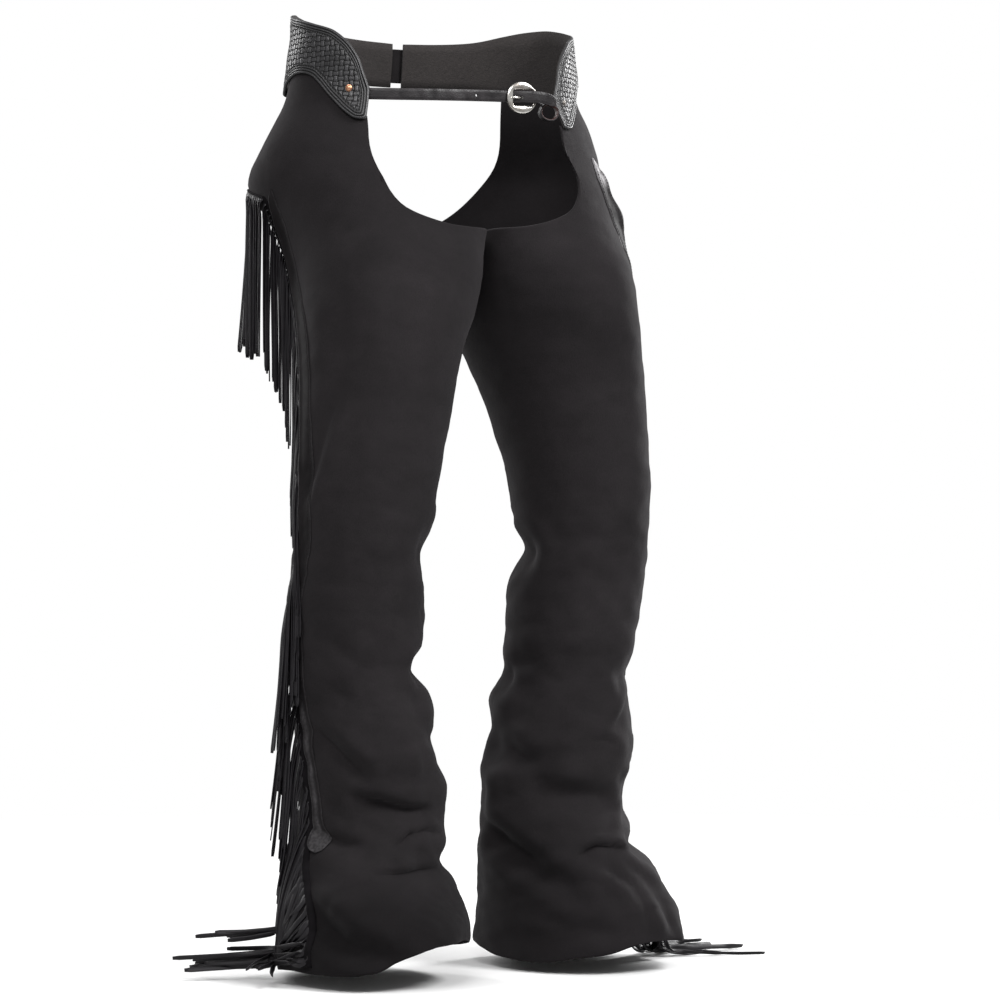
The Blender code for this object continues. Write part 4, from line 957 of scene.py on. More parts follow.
def fringe(side):
    """Strips cut from a band in the outer seam. They hang straight down, and the lowest lie fanned on the floor."""
    rs = np.random.default_rng(40 + side)
    tab = plan_table(side)
    roots = []
    # the band's top end runs back across the hip before it turns down into the seam
    if side < 0:
        for k in range(17):
            t = k / 17
            roots.append((float(curve(SEAM[side], -.100, 1)) + 31 * (1 - t), -.0865 - .0135 * t ** 1.3))
        z = -.104
    else:
        for k in range(18):
            t = k / 18
            roots.append((95 - 22.5 * t + 2.5 * math.sin(math.pi * t), -.124 - .078 * t ** 1.15))
        z = -.207
    n_top = len(roots)
    while z > -.905:
        roots.append((float(curve(SEAM[side], z, 1)) + .4, z))
        z -= .0056 + rs.uniform(-.0003, .0003)
    hang, floor = [], []
    aim_out = np.array([-.82, .57, 0]) if side < 0 else np.array([.90, .44, 0])
    for k, (a, zr) in enumerate(roots):
        R, N = skin(side, np.array([a, a + 5.0]), np.array([zr, zr]), .0007)
        n = unit(N[0] * (1, 1, 0))
        t = unit((R[1] - R[0]) * (1, 1, 0))
        root = R[0]
        L = .171 + rs.uniform(-.011, .011)
        if side < 0:
            L += .024 * float(ease(-.81, -.87, zr))
        layer = rs.uniform(0, 1)
        low = float(ease(-.50, -.68, zr))
        base_h = zr - FLOOR
        lean = unit(t * .96 + n * (.12 + .30 * low))
        c = .0048 + .0022 * rs.uniform(0, 1) + low * rs.uniform(-.006, .004)
        if side < 0:
            c *= 1 - .75 * float(ease(-.19, -.25, zr) * ease(-.44, -.38, zr))
        reach = float(curve(DRIFT, zr, 1)) * (.10 + .95 * layer ** 1.3) + rs.uniform(-.0020, .0020)
        if k < 6 and side < 0:
            reach += (.011, .008, .006, .003, .002, .001)[k]
        if side > 0:
            reach *= .35
        stand = .0062 * float(ease(-.44, -.51, zr)) if side < 0 else 0.0
        p = [root + lean * .0022 + n * .0003, root + lean * .0046 - UP * .0007 + n * .0004 * (1 + layer),
             root + lean * c - UP * .0062 + n * .0006 * (1 + 2 * layer)]
        stay = rs.uniform(-.0016, .0016)
        full = rs.uniform(-.10, 1) * float(ease(-.20, -.30, zr))
        if base_h > L - .020:
            L = min(L, base_h - (.012 if side < 0 else .003) - .006 * layer)
            for drop in (.020, .045, .075, .110, .150, .200):
                q = root + lean * c + aim_out * (reach * (drop / .17) ** 1.35 + stand * float(ease(0, .035, drop))) - UP * drop \
                    + t * (stay * math.sin(drop * 31 + k)) + n * (.5 * stay * math.sin(drop * 23 + 2 * k))
                if side > 0:        # behind the pinch at the back of the knee
                    q = q + t * (.013 * math.exp(-((zr - drop + .615) / .055) ** 2) * min(1, drop / .05)
                                 + .020 * full * (drop / .17) ** 1.2)
                p.append(q)
            into = hang
        else:
            # sweep back and out to the floor, then along it
            group = rs.uniform(0, 1)
            if side < 0:
                land = np.array([-.2200, -.004, 0]) + np.array([rs.uniform(-.007, .007), rs.uniform(-.012, .014), 0])
                heading = math.radians(146 + rs.uniform(-3.5, 3.5))
            else:
                land = np.array([.2640, -.070, 0]) + np.array([rs.uniform(-.010, .010), rs.uniform(-.022, .030), 0])
                heading = math.radians(24 + rs.uniform(-24, 24))
            pile = .0130 + .0180 * (.618 * k % 1) if side < 0 else .0015 + .0080 * rs.uniform(0, 1) ** 1.2
            if group > .72:
                pile = rs.uniform(.046, .058) if side < 0 else rs.uniform(.008, .014)
                heading += math.radians(rs.uniform(-8, 8))
                L -= .020 if side < 0 else 0
            if group < .12:
                heading += math.radians(rs.choice([-60, 55]) if side > 0 else rs.choice([-20, 80]))
            share = 1 - .62 * float(ease(.03, .165, base_h))
            land = root * (1 - share) * (1, 1, 0) + land * share
            zf = FLOOR + min(pile, .6 * base_h)
            for f, g in ((.38, .16), (.72, .52), (.93, .86)):
                q = root * (1 - g) * (1, 1, 0) + land * g + (n * (.004 + .006 * layer) + aim_out * stand) * math.sin(math.pi * f)
                p.append(q + UP * (zr + (zf - zr) * f))
            h = heading
            q = land.copy()
            lift = rs.uniform(-.3, 1) * (.006 if pile < .030 else .010)
            for step in range(1, 6):
                h += math.radians(rs.uniform(-7, 7))
                q = q + np.array([math.cos(h), math.sin(h), 0]) * .034
                if pile > .030:
                    zf_k = zf + lift * (step / 3) ** 1.2 - (.0035 * step)
                else:
                    zf_k = max(FLOOR + .0012, zf - .0016 * step + max(0, lift) * (step / 5) ** 2)
                p.append(q + UP * max(FLOOR + .0012, zf_k))
            into = floor
        P = along(p, L, 31)
        s = np.linspace(0, L, 31)
        face = float(ease(-.26, -.15, zr)) if side < 0 else 0.0
        yaw = (face * rs.uniform(.45, 1.35) + (1 - face) * rs.uniform(-.35, .55)) * ease(.008 - .007 * face, .040 - .024 * face, s) \
            + rs.uniform(-.5, .5) * s / L
        half = .5 * .0058
        clear = .0008 + half * np.abs(np.sin(yaw)) * (1 - .6 * face) * ease(.006, .05, s) \
            + (.0014 + .0032 * low + .0010 * face) * layer * ease(.004, .03, s) \
            + (.0020 * (k % 2) * ease(.002, .012, s) if k < n_top else 0)
        above = ease(.020, .040, P[:, 2] - FLOOR)
        Q = push_clear(tab, P, clear)
        keep = ease(.002, .010, s)[:, None]
        P = P + (Q - P) * (above[:, None] * keep if into is floor else keep)
        P[:, 2] = np.maximum(P[:, 2], FLOOR + .0010)
        T = unit(np.gradient(P, axis=0))
        W = unit(np.cross(n[None], T))
        W = W * np.cos(yaw)[:, None] + np.cross(T, W) * np.sin(yaw)[:, None]
        level = ease(.75, .30, np.abs(T[:, 2]))[:, None] * (s > .02)[:, None]
        F = unit(np.cross(UP[None], T) + 1e-9)
        F = F * np.sign(np.sum(F * W, -1, keepdims=True) + 1e-9)
        F = unit(F + UP * ((1.0 if side > 0 else 2.0) + .5 * math.sin(k * 1.7)))
        W = unit(W * (1 - level) + F * level)
        for _ in range(2):
            W[1:-1] = unit(W[:-2] + 2 * W[1:-1] + W[2:])
        into.append((P, W, rs.uniform(.0053, .0062), .0013))
    w = WORD[side]
    top = ribbons("fringe_strips_" + w, hang, FRINGE_MAT)
    low = ribbons("fringe_ends_" + w, floor, FRINGE_MAT)
    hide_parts("fringe_" + w)
    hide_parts("fringe_floor_" + w)
    # the uncut band that the strips are cut from, sewn in behind the side strip
    line = np.array(roots + [(roots[-1][0], -.912)])
    k = np.linspace(0, len(line) - 1, 3 * len(line))
    a = np.interp(k, np.arange(len(line)), line[:, 0])
    z_ = np.interp(k, np.arange(len(line)), line[:, 1])
    P0, N0 = skin(side, a, z_, .0006)
    P1, _ = skin(side, a + 5.0, z_, .0006)
    out_, back = unit(N0 * (1, 1, 0)), unit((P1 - P0) * (1, 1, 0))
    low_ = ease(-.50, -.68, z_)[:, None]
    lean = unit(back * .96 + out_ * (.12 + .30 * low_))
    across = np.array([-.0030, -.0012, .0010, .0034, .0050, .0058])
    crown = np.array([.0007, .0015, .0021, .0021, .0015, .0005])      # its lip covers where the strips start
    mid = P0[:, None] + lean[:, None] * across[None, :, None] \
        - UP * (.0008 * np.clip(across / .005, 0, 1) ** 2)[None, :, None]
    if side < 0:
        first = ease(n_top + 2, n_top - 2, k)[:, None, None]
        mid = mid + first * (UP * .0012 - out_[:, None] * .0004)
    face_ = unit(np.cross(lean, UP))[:, None]
    face_ = face_ * np.sign(np.sum(face_ * out_[:, None], -1, keepdims=True))
    band = shell("fringe_band_" + w, mid + face_ * crown[None, :, None], mid - face_ * .0005, BAND_MAT)
    check_outward(band)
    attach(band, "root")
    return top, low, band


FRINGES = {side: fringe(side) for side in SIDES}


# ------------------------------------------------------------------ tooled yokes
def weave(x, y):
    """Height of a basket-weave stamping, 0 to 1: long level bars, with a short upright bar over each of their ends."""
    pitch, row = .0110, .0055
    j = np.floor(y / row)
    v = (y / row - j) * 2 - 1
    x = x + .0004 * np.sin(y * 160) + np.mod(j, 2) * pitch / 2

    def upright(x, v):
        d = np.abs((x / pitch + .5) % 1 - .5) * pitch
        return np.clip((.0019 - d) / .00045, 0, 1) * np.clip((1.22 - np.abs(v)) / .20, 0, 1) * (1 - .10 * v * v), d

    top, d = upright(x, v)
    over = np.maximum(upright(x + pitch / 2, v - 2)[0], upright(x + pitch / 2, v + 2)[0])
    level = np.clip((d - .0024) / .0005, 0, 1) * np.clip((.76 - np.abs(v)) / .16, 0, 1) * (.80 + .10 * np.cos(3 * math.pi * v / .74))
    return np.maximum(np.maximum(top, over), level)


def build_yoke(side):
    nu, nv = 640, 144
    deg = TIP[side] + np.linspace(0, YOKE[-1][0], nu)
    t = np.linspace(0, 1, nv)
    low, high = yoke_low(side, deg), yoke_high(side, deg)
    Z = low[None] + (high - low)[None] * t[:, None]
    D = np.repeat(deg[None], nv, 0)
    mid = hips(deg, .5 * (low + high))
    S = np.concatenate([[0], np.cumsum(np.linalg.norm(np.diff(mid, axis=0)[:, :2], axis=1))])
    ds = np.gradient(S)
    e_low = (Z - low[None]) * np.cos(np.arctan(np.gradient(low) / ds))[None]
    e_high = (high[None] - Z) * np.cos(np.arctan(np.gradient(high) / ds))[None]
    e_tip = np.repeat(S[None], nv, 0)
    e_back = np.repeat((S[-1] - S)[None], nv, 0)

    def soft_min(a, b, k=.0016):
        return .5 * (a + b - np.sqrt((a - b) ** 2 + k * k))

    edge = soft_min(soft_min(e_low, e_high), soft_min(e_tip, e_back))
    SS = np.repeat(S[None], nv, 0)
    field = ease(.0088, .0098, edge)
    h = weave(SS + .003 * side, Z + .0008) * field
    # border: rounded edge, two lines with a bead between, then a row of small scallops
    line = lambda at, w: np.exp(-((edge - at) / w) ** 2)
    run = np.where(e_tip < np.minimum(e_low, e_high), Z, SS)
    scallop = np.abs(np.sin(run / .0031 * math.pi)) ** .6
    border = (1 - field) * (.74 + .14 * line(.0012, .0008) - .95 * line(.0027, .00050) + .10 * line(.0040, .0008)
                            - .95 * line(.0055, .00050) + .22 * line(.0064, .0005)
                            - .80 * line(.0080, .0009) * scallop)
    rounded = -np.clip(1 - edge / .0016, 0, 1) ** 2 * 1.3
    relief = h + border
    height = YOKE_T + .0013 * (relief - .85) + .0009 * rounded
    # the relief, 0 to 1, that the material turns into painted highlight on raised stamps and painted shade in the
    # grooves
    relief_for_painted_light = np.clip(relief, 0, 1)
    wobble = .0005 * waves(hips(D, Z), .05, 71 + side)
    lift = YOKE_LIFT + .0002 - yoke_in(side, D)
    outer = hips(D, Z, lift + height + wobble)
    back_rows = np.linspace(0, nv - 1, 6).round().astype(int)
    inner = hips(D[back_rows], Z[back_rows], lift[back_rows] + wobble[back_rows])
    for G in (outer, inner):
        G[..., 0] *= side
    n = nu * nv
    m = len(back_rows)
    flip = side > 0
    faces = [grid_faces(nu, nv, 0, not flip), grid_faces(nu, m, n, flip)]
    cols = np.arange(nu)

    def wall(a, b, turned):
        f = np.stack([a[:-1], b[:-1], b[1:], a[1:]], -1)
        return f[:, ::-1] if turned != flip else f

    faces.append(wall(cols, n + cols, True))
    faces.append(wall((nv - 1) * nu + cols, n + (m - 1) * nu + cols, False))
    polys = [tuple(f) for f in np.concatenate(faces).tolist()]
    for c, turned in ((0, False), (nu - 1, True)):
        for k in range(m - 1):
            a, b = back_rows[k], back_rows[k + 1]
            f = [r * nu + c for r in range(a, b + 1)] + [n + (k + 1) * nu + c, n + k * nu + c]
            polys.append(tuple(f[::-1] if turned != flip else f))
    verts = np.concatenate([outer.reshape(-1, 3), inner.reshape(-1, 3)])
    obj = new_mesh("tooled_yoke_" + WORD[side], verts, polys, TOOLED_MAT)
    attribute(obj, "relief", np.concatenate([relief_for_painted_light.ravel(), np.full(m * nu, .25)]))
    attribute(obj, "flesh", np.concatenate([np.zeros(n), np.ones(m * nu)]))
    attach(obj, "root")
    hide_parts("yoke_" + WORD[side])
    return obj


YOKES = {side: build_yoke(side) for side in SIDES}


# ------------------------------------------------------------------ back tab
def build_tab():
    d0, d1 = TIP[-1] + YOKE[-1][0] - 9.0, 360 - (TIP[1] + YOKE[-1][0]) + 9.0
    nu, nv = 64, 24
    deg = np.linspace(d0, d1, nu)
    z = np.linspace(.0455, .0830, nv)
    D, Z = np.meshgrid(deg, z)
    u = np.linspace(-1, 1, nu)[None] * np.ones((nv, 1))
    v = np.linspace(-1, 1, nv)[:, None] * np.ones((1, nu))
    corner = 1 - .10 * np.clip(np.abs(u) - .72, 0, 1) / .28 * np.abs(v) ** 2
    Z = .06425 + (Z - .06425) * corner
    base = hips(D, Z, YOKE_LIFT + YOKE_T + .0011)
    thick = .0026 * (1 - .35 * np.maximum(np.abs(u), np.abs(v)) ** 10) + .00012 * waves(base, .02, 5)
    outer = hips(D, Z, YOKE_LIFT + YOKE_T + .0011 + thick)
    for G in (outer, base):
        G[..., 0] *= -1
    obj = shell("back_tab_leather", outer, base, SMOOTH_MAT, flip=False)
    wear_and_highlight = np.clip((np.maximum(np.abs(u), np.abs(v)) - .86) / .14, 0, 1)
    attribute(obj, "wear_and_highlight", np.concatenate([wear_and_highlight.ravel() * .8, wear_and_highlight.ravel() * 0]))
    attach(obj, "root")
    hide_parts("back_tab")
    lines = []
    Nn = unit(outer * (1, 1, 0))
    for c in (3.0, nu - 4.0, 10.0, nu - 11.0):
        r = np.arange(2.2, nv - 2.6, 2.0)
        cc = np.full(len(r), c)
        lines.append((sample(outer, r, cc), unit(sample(Nn, r, cc))))
    for r in (2.6, nv - 3.6):
        c = np.arange(3.0, nu - 3.5, 2.0)
        rr = np.full(len(c), r)
        lines.append((sample(outer, rr, c), unit(sample(Nn, rr, c))))
    return obj, lines


BACK_TAB, tab_lines = build_tab()
stitches("tab_stitches", tab_lines)
for side in SIDES:
    stitches("strip_stitches_" + WORD[side], STITCH_LINES[side])


# ------------------------------------------------------------------ front strap, buckle and its strap
STRAP = [(59.5, .0085, -.0014), (50.0, .0078, -.0012), (40.0, .0072, 0), (26.0, .0074, 0), (12.0, .0082, 0),
         (0.0, .0092, 0)]
THREADED = [(-.0172, -.0005, .0094), (-.0130, -.0005, .0093), (-.0093, .0001, .0092), (-.0037, .0028, .0092),
            (.0025, .0060, .0092), (.0087, .0084, .0091), (.0140, .0093, .0089), (.0190, .0094, .0085),
            (.0240, .0088, .0078), (.0290, .0074, .0068), (.0340, .0050, .0054), (.0385, .0018, .0038)]
CHAPE = [(-38.0, .0085, -.0006), (-33.5, .0085, -.0004), (-29.8, .0085, .0002)]
BUCKLE_AT, BUCKLE_TURN, BUCKLE_Z, BUCKLE_R, BUCKLE_T = -9.1, 22.0, .0082, .0172, .0024
BUCKLE_LIFT, BUCKLE_OUT = .0070, .0026
WINDOW = (-.0098, .0133, .0086)
BAR_OFF = .0153


def body_point(deg, z, out):
    """A point on the hips; deg is positive towards the wearer's right."""
    p = hips(deg, z, out)
    return Vector((-float(p[0]), float(p[1]), float(p[2])))


def buckle_frame():
    a, b, c = (body_point(BUCKLE_AT + k, BUCKLE_Z, 0) for k in (0, -6, 6))
    left = (b - c).normalized()
    out = left.cross(Vector((0, 0, 1))).normalized()
    centre = a + out * BUCKLE_LIFT
    turn = Matrix.Rotation(math.radians(-BUCKLE_TURN), 3, "Z")
    left, out = turn @ left, turn @ out
    m = Matrix.Identity(4)
    for k in range(3):
        m[k][0], m[k][1], m[k][2], m[k][3] = left[k], (0, 0, 1)[k], out[k], centre[k]
    return m


M = buckle_frame()


def at_buckle(x, out, z):
    p = M @ Vector((x, 0, out))
    return Vector((p.x, p.y, z))


def placed(points):
    """Local points of the buckle to the garment's frame."""
    P = np.asarray(points, float)
    R = np.array(M.to_3x3())
    return P @ R.T + np.array(M.translation)


def route(points, n):
    a = np.array([tuple(p) for p in points])
    keyed = [(k, *a[k]) for k in range(len(a))]
    x = np.linspace(0, len(a) - 1, n)
    P = np.stack([curve(keyed, x, k) for k in (1, 2, 3)], -1)
    s = np.concatenate([[0], np.cumsum(np.linalg.norm(np.diff(P, axis=0), axis=1))])
    e = np.linspace(0, s[-1], n)
    return np.stack([np.interp(e, s, P[:, k]) for k in range(3)], -1), e


def strap_mesh(name, mid, half, thick, mat, side_of, lines=(), holes=(), creases=0.0, seed=3):
    """A flat strap along a route of points: its inner face is on them, and side_of gives the way out."""
    n = len(mid)
    T = unit(np.gradient(mid, axis=0))
    N = unit(np.cross(T, np.array([0, 0, 1.0])))
    N = N * np.sign(np.sum(N * side_of, -1, keepdims=True))
    W = unit(np.cross(N, T))
    W = W * np.sign(W[:, 2:3])
    nu = 17
    u = np.linspace(-1, 1, nu)
    U = np.repeat(u[None], n, 0)
    s = np.concatenate([[0], np.cumsum(np.linalg.norm(np.diff(mid, axis=0), axis=1))])
    h = half if np.ndim(half) else np.full(n, half)
    crown = thick * (1 - .30 * np.abs(U) ** 8)
    rib = creases * np.sin(s[:, None] / .0034 + 2.2 * np.sin(s[:, None] / .011) + U * 1.2) \
        * np.exp(-((s[:, None] - s[-1] * .47) / .035) ** 2)
    groove = -.00022 * np.exp(-((np.abs(U) - .74) / .06) ** 2)
    P3 = mid[:, None] + W[:, None] * (U * h[:, None])[..., None]
    soft = .00018 * waves(P3, .018, seed)
    outer = P3 + N[:, None] * (crown + rib + groove + soft)[..., None]
    inner = P3 + N[:, None] * (.12 * thick * np.abs(U) ** 8)[..., None]
    obj = shell(name, outer, inner, mat, flip=False)
    check_outward(obj)
    wear_and_highlight = np.clip((np.abs(U) - .80) / .2, 0, 1) + .5 * np.clip(rib / max(creases, 1e-9), 0, 1) * (creases > 0)
    attribute(obj, "wear_and_highlight", np.concatenate([np.clip(wear_and_highlight, 0, 1).ravel(), np.zeros(U.size)]))
    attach(obj, "root")
    return obj, outer, N, W, s


def punch(obj, cutters):
    """Cuts round or long holes right through a piece."""
    for k, (matrix, radius) in enumerate(cutters):
        n = 24
        ring_pts = [(radius * math.cos(2 * math.pi * q / n), radius * math.sin(2 * math.pi * q / n)) for q in range(n)]
        verts = [(x, y, -.007) for x, y in ring_pts] + [(x, y, .007) for x, y in ring_pts]
        faces = [tuple(range(n))[::-1], tuple(range(n, 2 * n))] + [
            (q, (q + 1) % n, n + (q + 1) % n, n + q) for q in range(n)]
        mesh = bpy.data.meshes.new("punch")
        mesh.from_pydata(verts, [], faces)
        cutter = bpy.data.objects.new("punch", mesh)
        cutter.matrix_world = matrix
        bpy.context.scene.collection.objects.link(cutter)
        cut = obj.modifiers.new("hole", "BOOLEAN")
        cut.operation = "DIFFERENCE"
        cut.object = cutter
        cut.solver = "EXACT"
        bpy.context.view_layer.update()
        dg = bpy.context.evaluated_depsgraph_get()
        done = bpy.data.meshes.new_from_object(obj.evaluated_get(dg))
        obj.modifiers.clear()
        old = obj.data
        obj.data = done
        bpy.data.meshes.remove(old)
        bpy.data.objects.remove(cutter, do_unlink=True)


out_way = np.array([0.0, -1.0, 0.0])
mid, s = route([body_point(*r) for r in STRAP] + [at_buckle(*r) for r in THREADED], 420)
radial = unit(mid * (1, 1, 0))
tail_len = s[-1] - s
half = STRAP_W / 2 * np.where(tail_len < .008, .55 + .45 * np.sqrt(np.clip(tail_len / .008, 0, 1)), 1)
mid = mid + radial * .0001
front, strap_outer, _, _, strap_s = strap_mesh("front_strap_leather", mid, half, STRAP_T, STRAP_MAT, radial,
                                               creases=.00030)
across = body_point(8.3, .0085, 0)
away = body_point(8.3, .0085, .01)
spare = (away - across).normalized().to_track_quat("Z", "Y").to_matrix().to_4x4()
spare.translation = across
slot_at = M @ Matrix.Translation((-.0026, 0, .004)) @ Matrix.Diagonal((1.9, 1, 1, 1))
punch(front, [(slot_at, .0019), (spare, .0015)])
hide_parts("front_strap")

# the buckle's strap: straight from under the yoke to the bar, and round it
BAR = (BAR_OFF, BUCKLE_OUT + BUCKLE_T / 2)
c_route = [body_point(*r) for r in CHAPE]
c_to = at_buckle(BAR[0] + .0026, BAR[1] - .0033, .0085)
c_route += [c_route[-1].lerp(c_to, f) for f in (.33, .67, 1.0)]
ch1, _ = route(c_route, 90)
loc = []
for k in range(60):
    t = k / 59 * 1.18
    if t <= 1:
        w = -math.pi / 2 - math.pi * t
        loc.append((BAR[0] + .0034 * math.cos(w), BAR[1] + .0031 * math.sin(w)))
    else:
        loc.append((BAR[0] + .0110 * (t - 1), BAR[1] + .0031))
ch2 = np.array([tuple(at_buckle(x, o, .0085)) for x, o in loc])
lead = np.array([tuple(at_buckle(BAR[0] + .0018 - .0018 * f, BAR[1] - .0032 + .0001 * f, .0085)) for f in np.linspace(.2, .9, 6)])
chape_mid = np.concatenate([ch1, lead, ch2])
T = unit(np.gradient(chape_mid, axis=0))
N = unit(np.cross(T, np.array([0, 0, 1.0])))
flip_sign = np.sign(np.sum(N[20] * unit(chape_mid[20] * (1, 1, 0))))
N = N * flip_sign
nu = 11
U = np.repeat(np.linspace(-1, 1, nu)[None], len(chape_mid), 0)
s2 = np.concatenate([[0], np.cumsum(np.linalg.norm(np.diff(chape_mid, axis=0), axis=1))])
hw = .0060 - .0005 * ease(.6, .8, s2 / s2[-1])
C3 = chape_mid[:, None] + np.array([0, 0, 1.0])[None, None] * (U * hw[:, None])[..., None]
th = .00075 * (1 - .3 * np.abs(U) ** 8)
chape = shell("buckle_strap_leather", C3 + N[:, None] * th[..., None], C3 - N[:, None] * th[..., None], STRAP_MAT)
check_outward(chape)
attribute(chape, "wear_and_highlight", np.concatenate([np.clip((np.abs(U) - .8) / .2, 0, 1).ravel()] * 2))
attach(chape, "root")
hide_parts("buckle_strap")


def buckle_body():
    """Round frame with a domed face and a window set towards the bar."""
    n, prof = 144, 18
    th = np.linspace(0, 2 * math.pi, n, endpoint=False)
    x0, x1, h = WINDOW
    cx, hx, hy, rc = (x0 + x1) / 2, (x1 - x0) / 2, h, .0026
    # inner outline: a rounded rectangle, read along rays from its own centre
    inner = []
    for a in th:
        ca, sa = math.cos(a), math.sin(a)
        lo, hi = 0.0, .03
        for _ in range(30):
            m_ = (lo + hi) / 2
            qx, qy = abs(m_ * ca) - (hx - rc), abs(m_ * sa) - (hy - rc)
            d = math.hypot(max(qx, 0), max(qy, 0)) + min(max(qx, qy), 0) - rc
            lo, hi = (m_, hi) if d < 0 else (lo, m_)
        inner.append((cx + lo * ca, lo * sa))
    inner = np.array(inner)
    # outer outline: the circle where the same ray meets it
    outer = []
    for a in th:
        ca, sa = math.cos(a), math.sin(a)
        b = cx * ca
        t = -b + math.sqrt(b * b - (cx * cx - BUCKLE_R ** 2))
        outer.append((cx + t * ca, t * sa))
    outer = np.array(outer)
    verts = []
    t = np.linspace(0, 1, prof)
    top = .45 + .60 * np.sin(math.pi * t) ** .55
    top[0], top[-1] = .35, .30
    for k in range(prof):
        xy = inner * (1 - t[k]) + outer * t[k]
        wide = np.linalg.norm(outer - inner, axis=1) / .0074
        z = BUCKLE_OUT + BUCKLE_T * (.38 + (top[k] - .38) * (.72 + .28 * np.clip(wide, 0, 1)))
        verts.append(np.stack([xy[:, 0], xy[:, 1], z], -1))
    for k, zz in ((prof - 1, .08), (prof - 2, 0.0), (1, 0.0), (0, .08)):
        xy = inner * (1 - t[k]) + outer * t[k]
        verts.append(np.stack([xy[:, 0], xy[:, 1], np.full(n, BUCKLE_OUT + BUCKLE_T * zz)], -1))
    V = np.stack(verts)
    rows = V.shape[0]
    faces = []
    for k in range(rows):
        for q in range(n):
            a, b = k * n + q, k * n + (q + 1) % n
            c, d = ((k + 1) % rows) * n + (q + 1) % n, ((k + 1) % rows) * n + q
            faces.append((a, d, c, b))
    obj = new_mesh("buckle_frame", placed(V.reshape(-1, 3)), faces, NICKEL_MAT)
    check_outward(obj)
    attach(obj, "root")
    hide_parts("buckle_ring")
    return obj


buckle_body()


def wire(name, points, radii, mat, sides=14, flat=1.0):
    """A round or flattened wire through points in the buckle's frame, closed at both ends."""
    P = np.asarray(points, float)
    keyed = [(k, *P[k], radii[k]) for k in range(len(P))]
    x = np.linspace(0, len(P) - 1, 60)
    Q = np.stack([curve(keyed, x, k) for k in (1, 2, 3)], -1)
    r = curve(keyed, x, 4)
    cap = np.concatenate([np.sin(np.linspace(.15, math.pi / 2, 5)), np.ones(50), np.sin(np.linspace(math.pi / 2, .15, 5))])
    T = unit(np.gradient(Q, axis=0))
    S = np.array([0, 1.0, 0])[None].repeat(len(Q), 0)
    N = unit(np.cross(T, S))
    w = np.linspace(0, 2 * math.pi, sides, endpoint=False)
    V = Q[:, None] + (S[:, None] * np.cos(w)[None, :, None] * flat + N[:, None] * np.sin(w)[None, :, None]) \
        * (r * cap)[:, None, None]
    faces = grid_faces(sides, len(Q), 0, False, True).tolist()
    faces.append(list(range(sides))[::-1])
    faces.append([(len(Q) - 1) * sides + k for k in range(sides)])
    obj = new_mesh(name, placed(V.reshape(-1, 3)), faces, mat)
    check_outward(obj)
    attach(obj, "root")
    return obj


tongue = wire("buckle_tongue_metal", [
    (.0098, 0, .0034), (.0070, 0, .0034), (.0030, 0, .0036), (.0004, 0, .0040), (-.0028, 0, .0051),
    (-.0060, 0, .0061), (-.0092, 0, .0066), (-.0126, 0, .0064)],
    [.0010, .0010, .0010, .0010, .0010, .0010, .00095, .0007], NICKEL_MAT, flat=1.15)
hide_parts("buckle_tongue")


def band_loop(name, centre, radius, width, thick, stretch, mat):
    """A leather loop whose axis points out of the buckle's face."""
    n, prof = 72, 12
    a = np.linspace(0, 2 * math.pi, n, endpoint=False)
    sec = []
    for k in range(prof):
        w = 2 * math.pi * k / prof
        c, s_ = math.cos(w), math.sin(w)
        sec.append((np.sign(c) * abs(c) ** .35 * thick / 2, np.sign(s_) * abs(s_) ** .35 * width / 2))
    V = np.empty((n, prof, 3))
    for k, (dr, dz) in enumerate(sec):
        r = radius + dr
        sag = 1 + .05 * np.cos(2 * a + .6)
        V[:, k, 0] = r * np.cos(a) * stretch
        V[:, k, 1] = r * np.sin(a) * sag
        V[:, k, 2] = dz
    R = np.array(M.to_3x3())
    W = V.reshape(-1, 3) @ R.T + np.array(tuple(centre))
    faces = []
    for q in range(n):
        for k in range(prof):
            i, j = q * prof + k, q * prof + (k + 1) % prof
            u_, v_ = ((q + 1) % n) * prof + (k + 1) % prof, ((q + 1) % n) * prof + k
            faces.append((i, j, u_, v_))
    obj = new_mesh(name, W, faces, mat)
    check_outward(obj)
    attribute(obj, "wear_and_highlight", np.tile([.05 if abs(z_) < width * .3 else .22 for d, z_ in sec], n))
    attribute(obj, "flesh", np.tile([1.0 if d < 0 else 0.0 for d, z_ in sec], n))
    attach(obj, "root")
    return obj


keeper = band_loop("keeper_leather", at_buckle(.0318, .0003, -.0064), .0088, .0095, .0021, 1.12, STRAP_MAT)
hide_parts("keeper_loop")


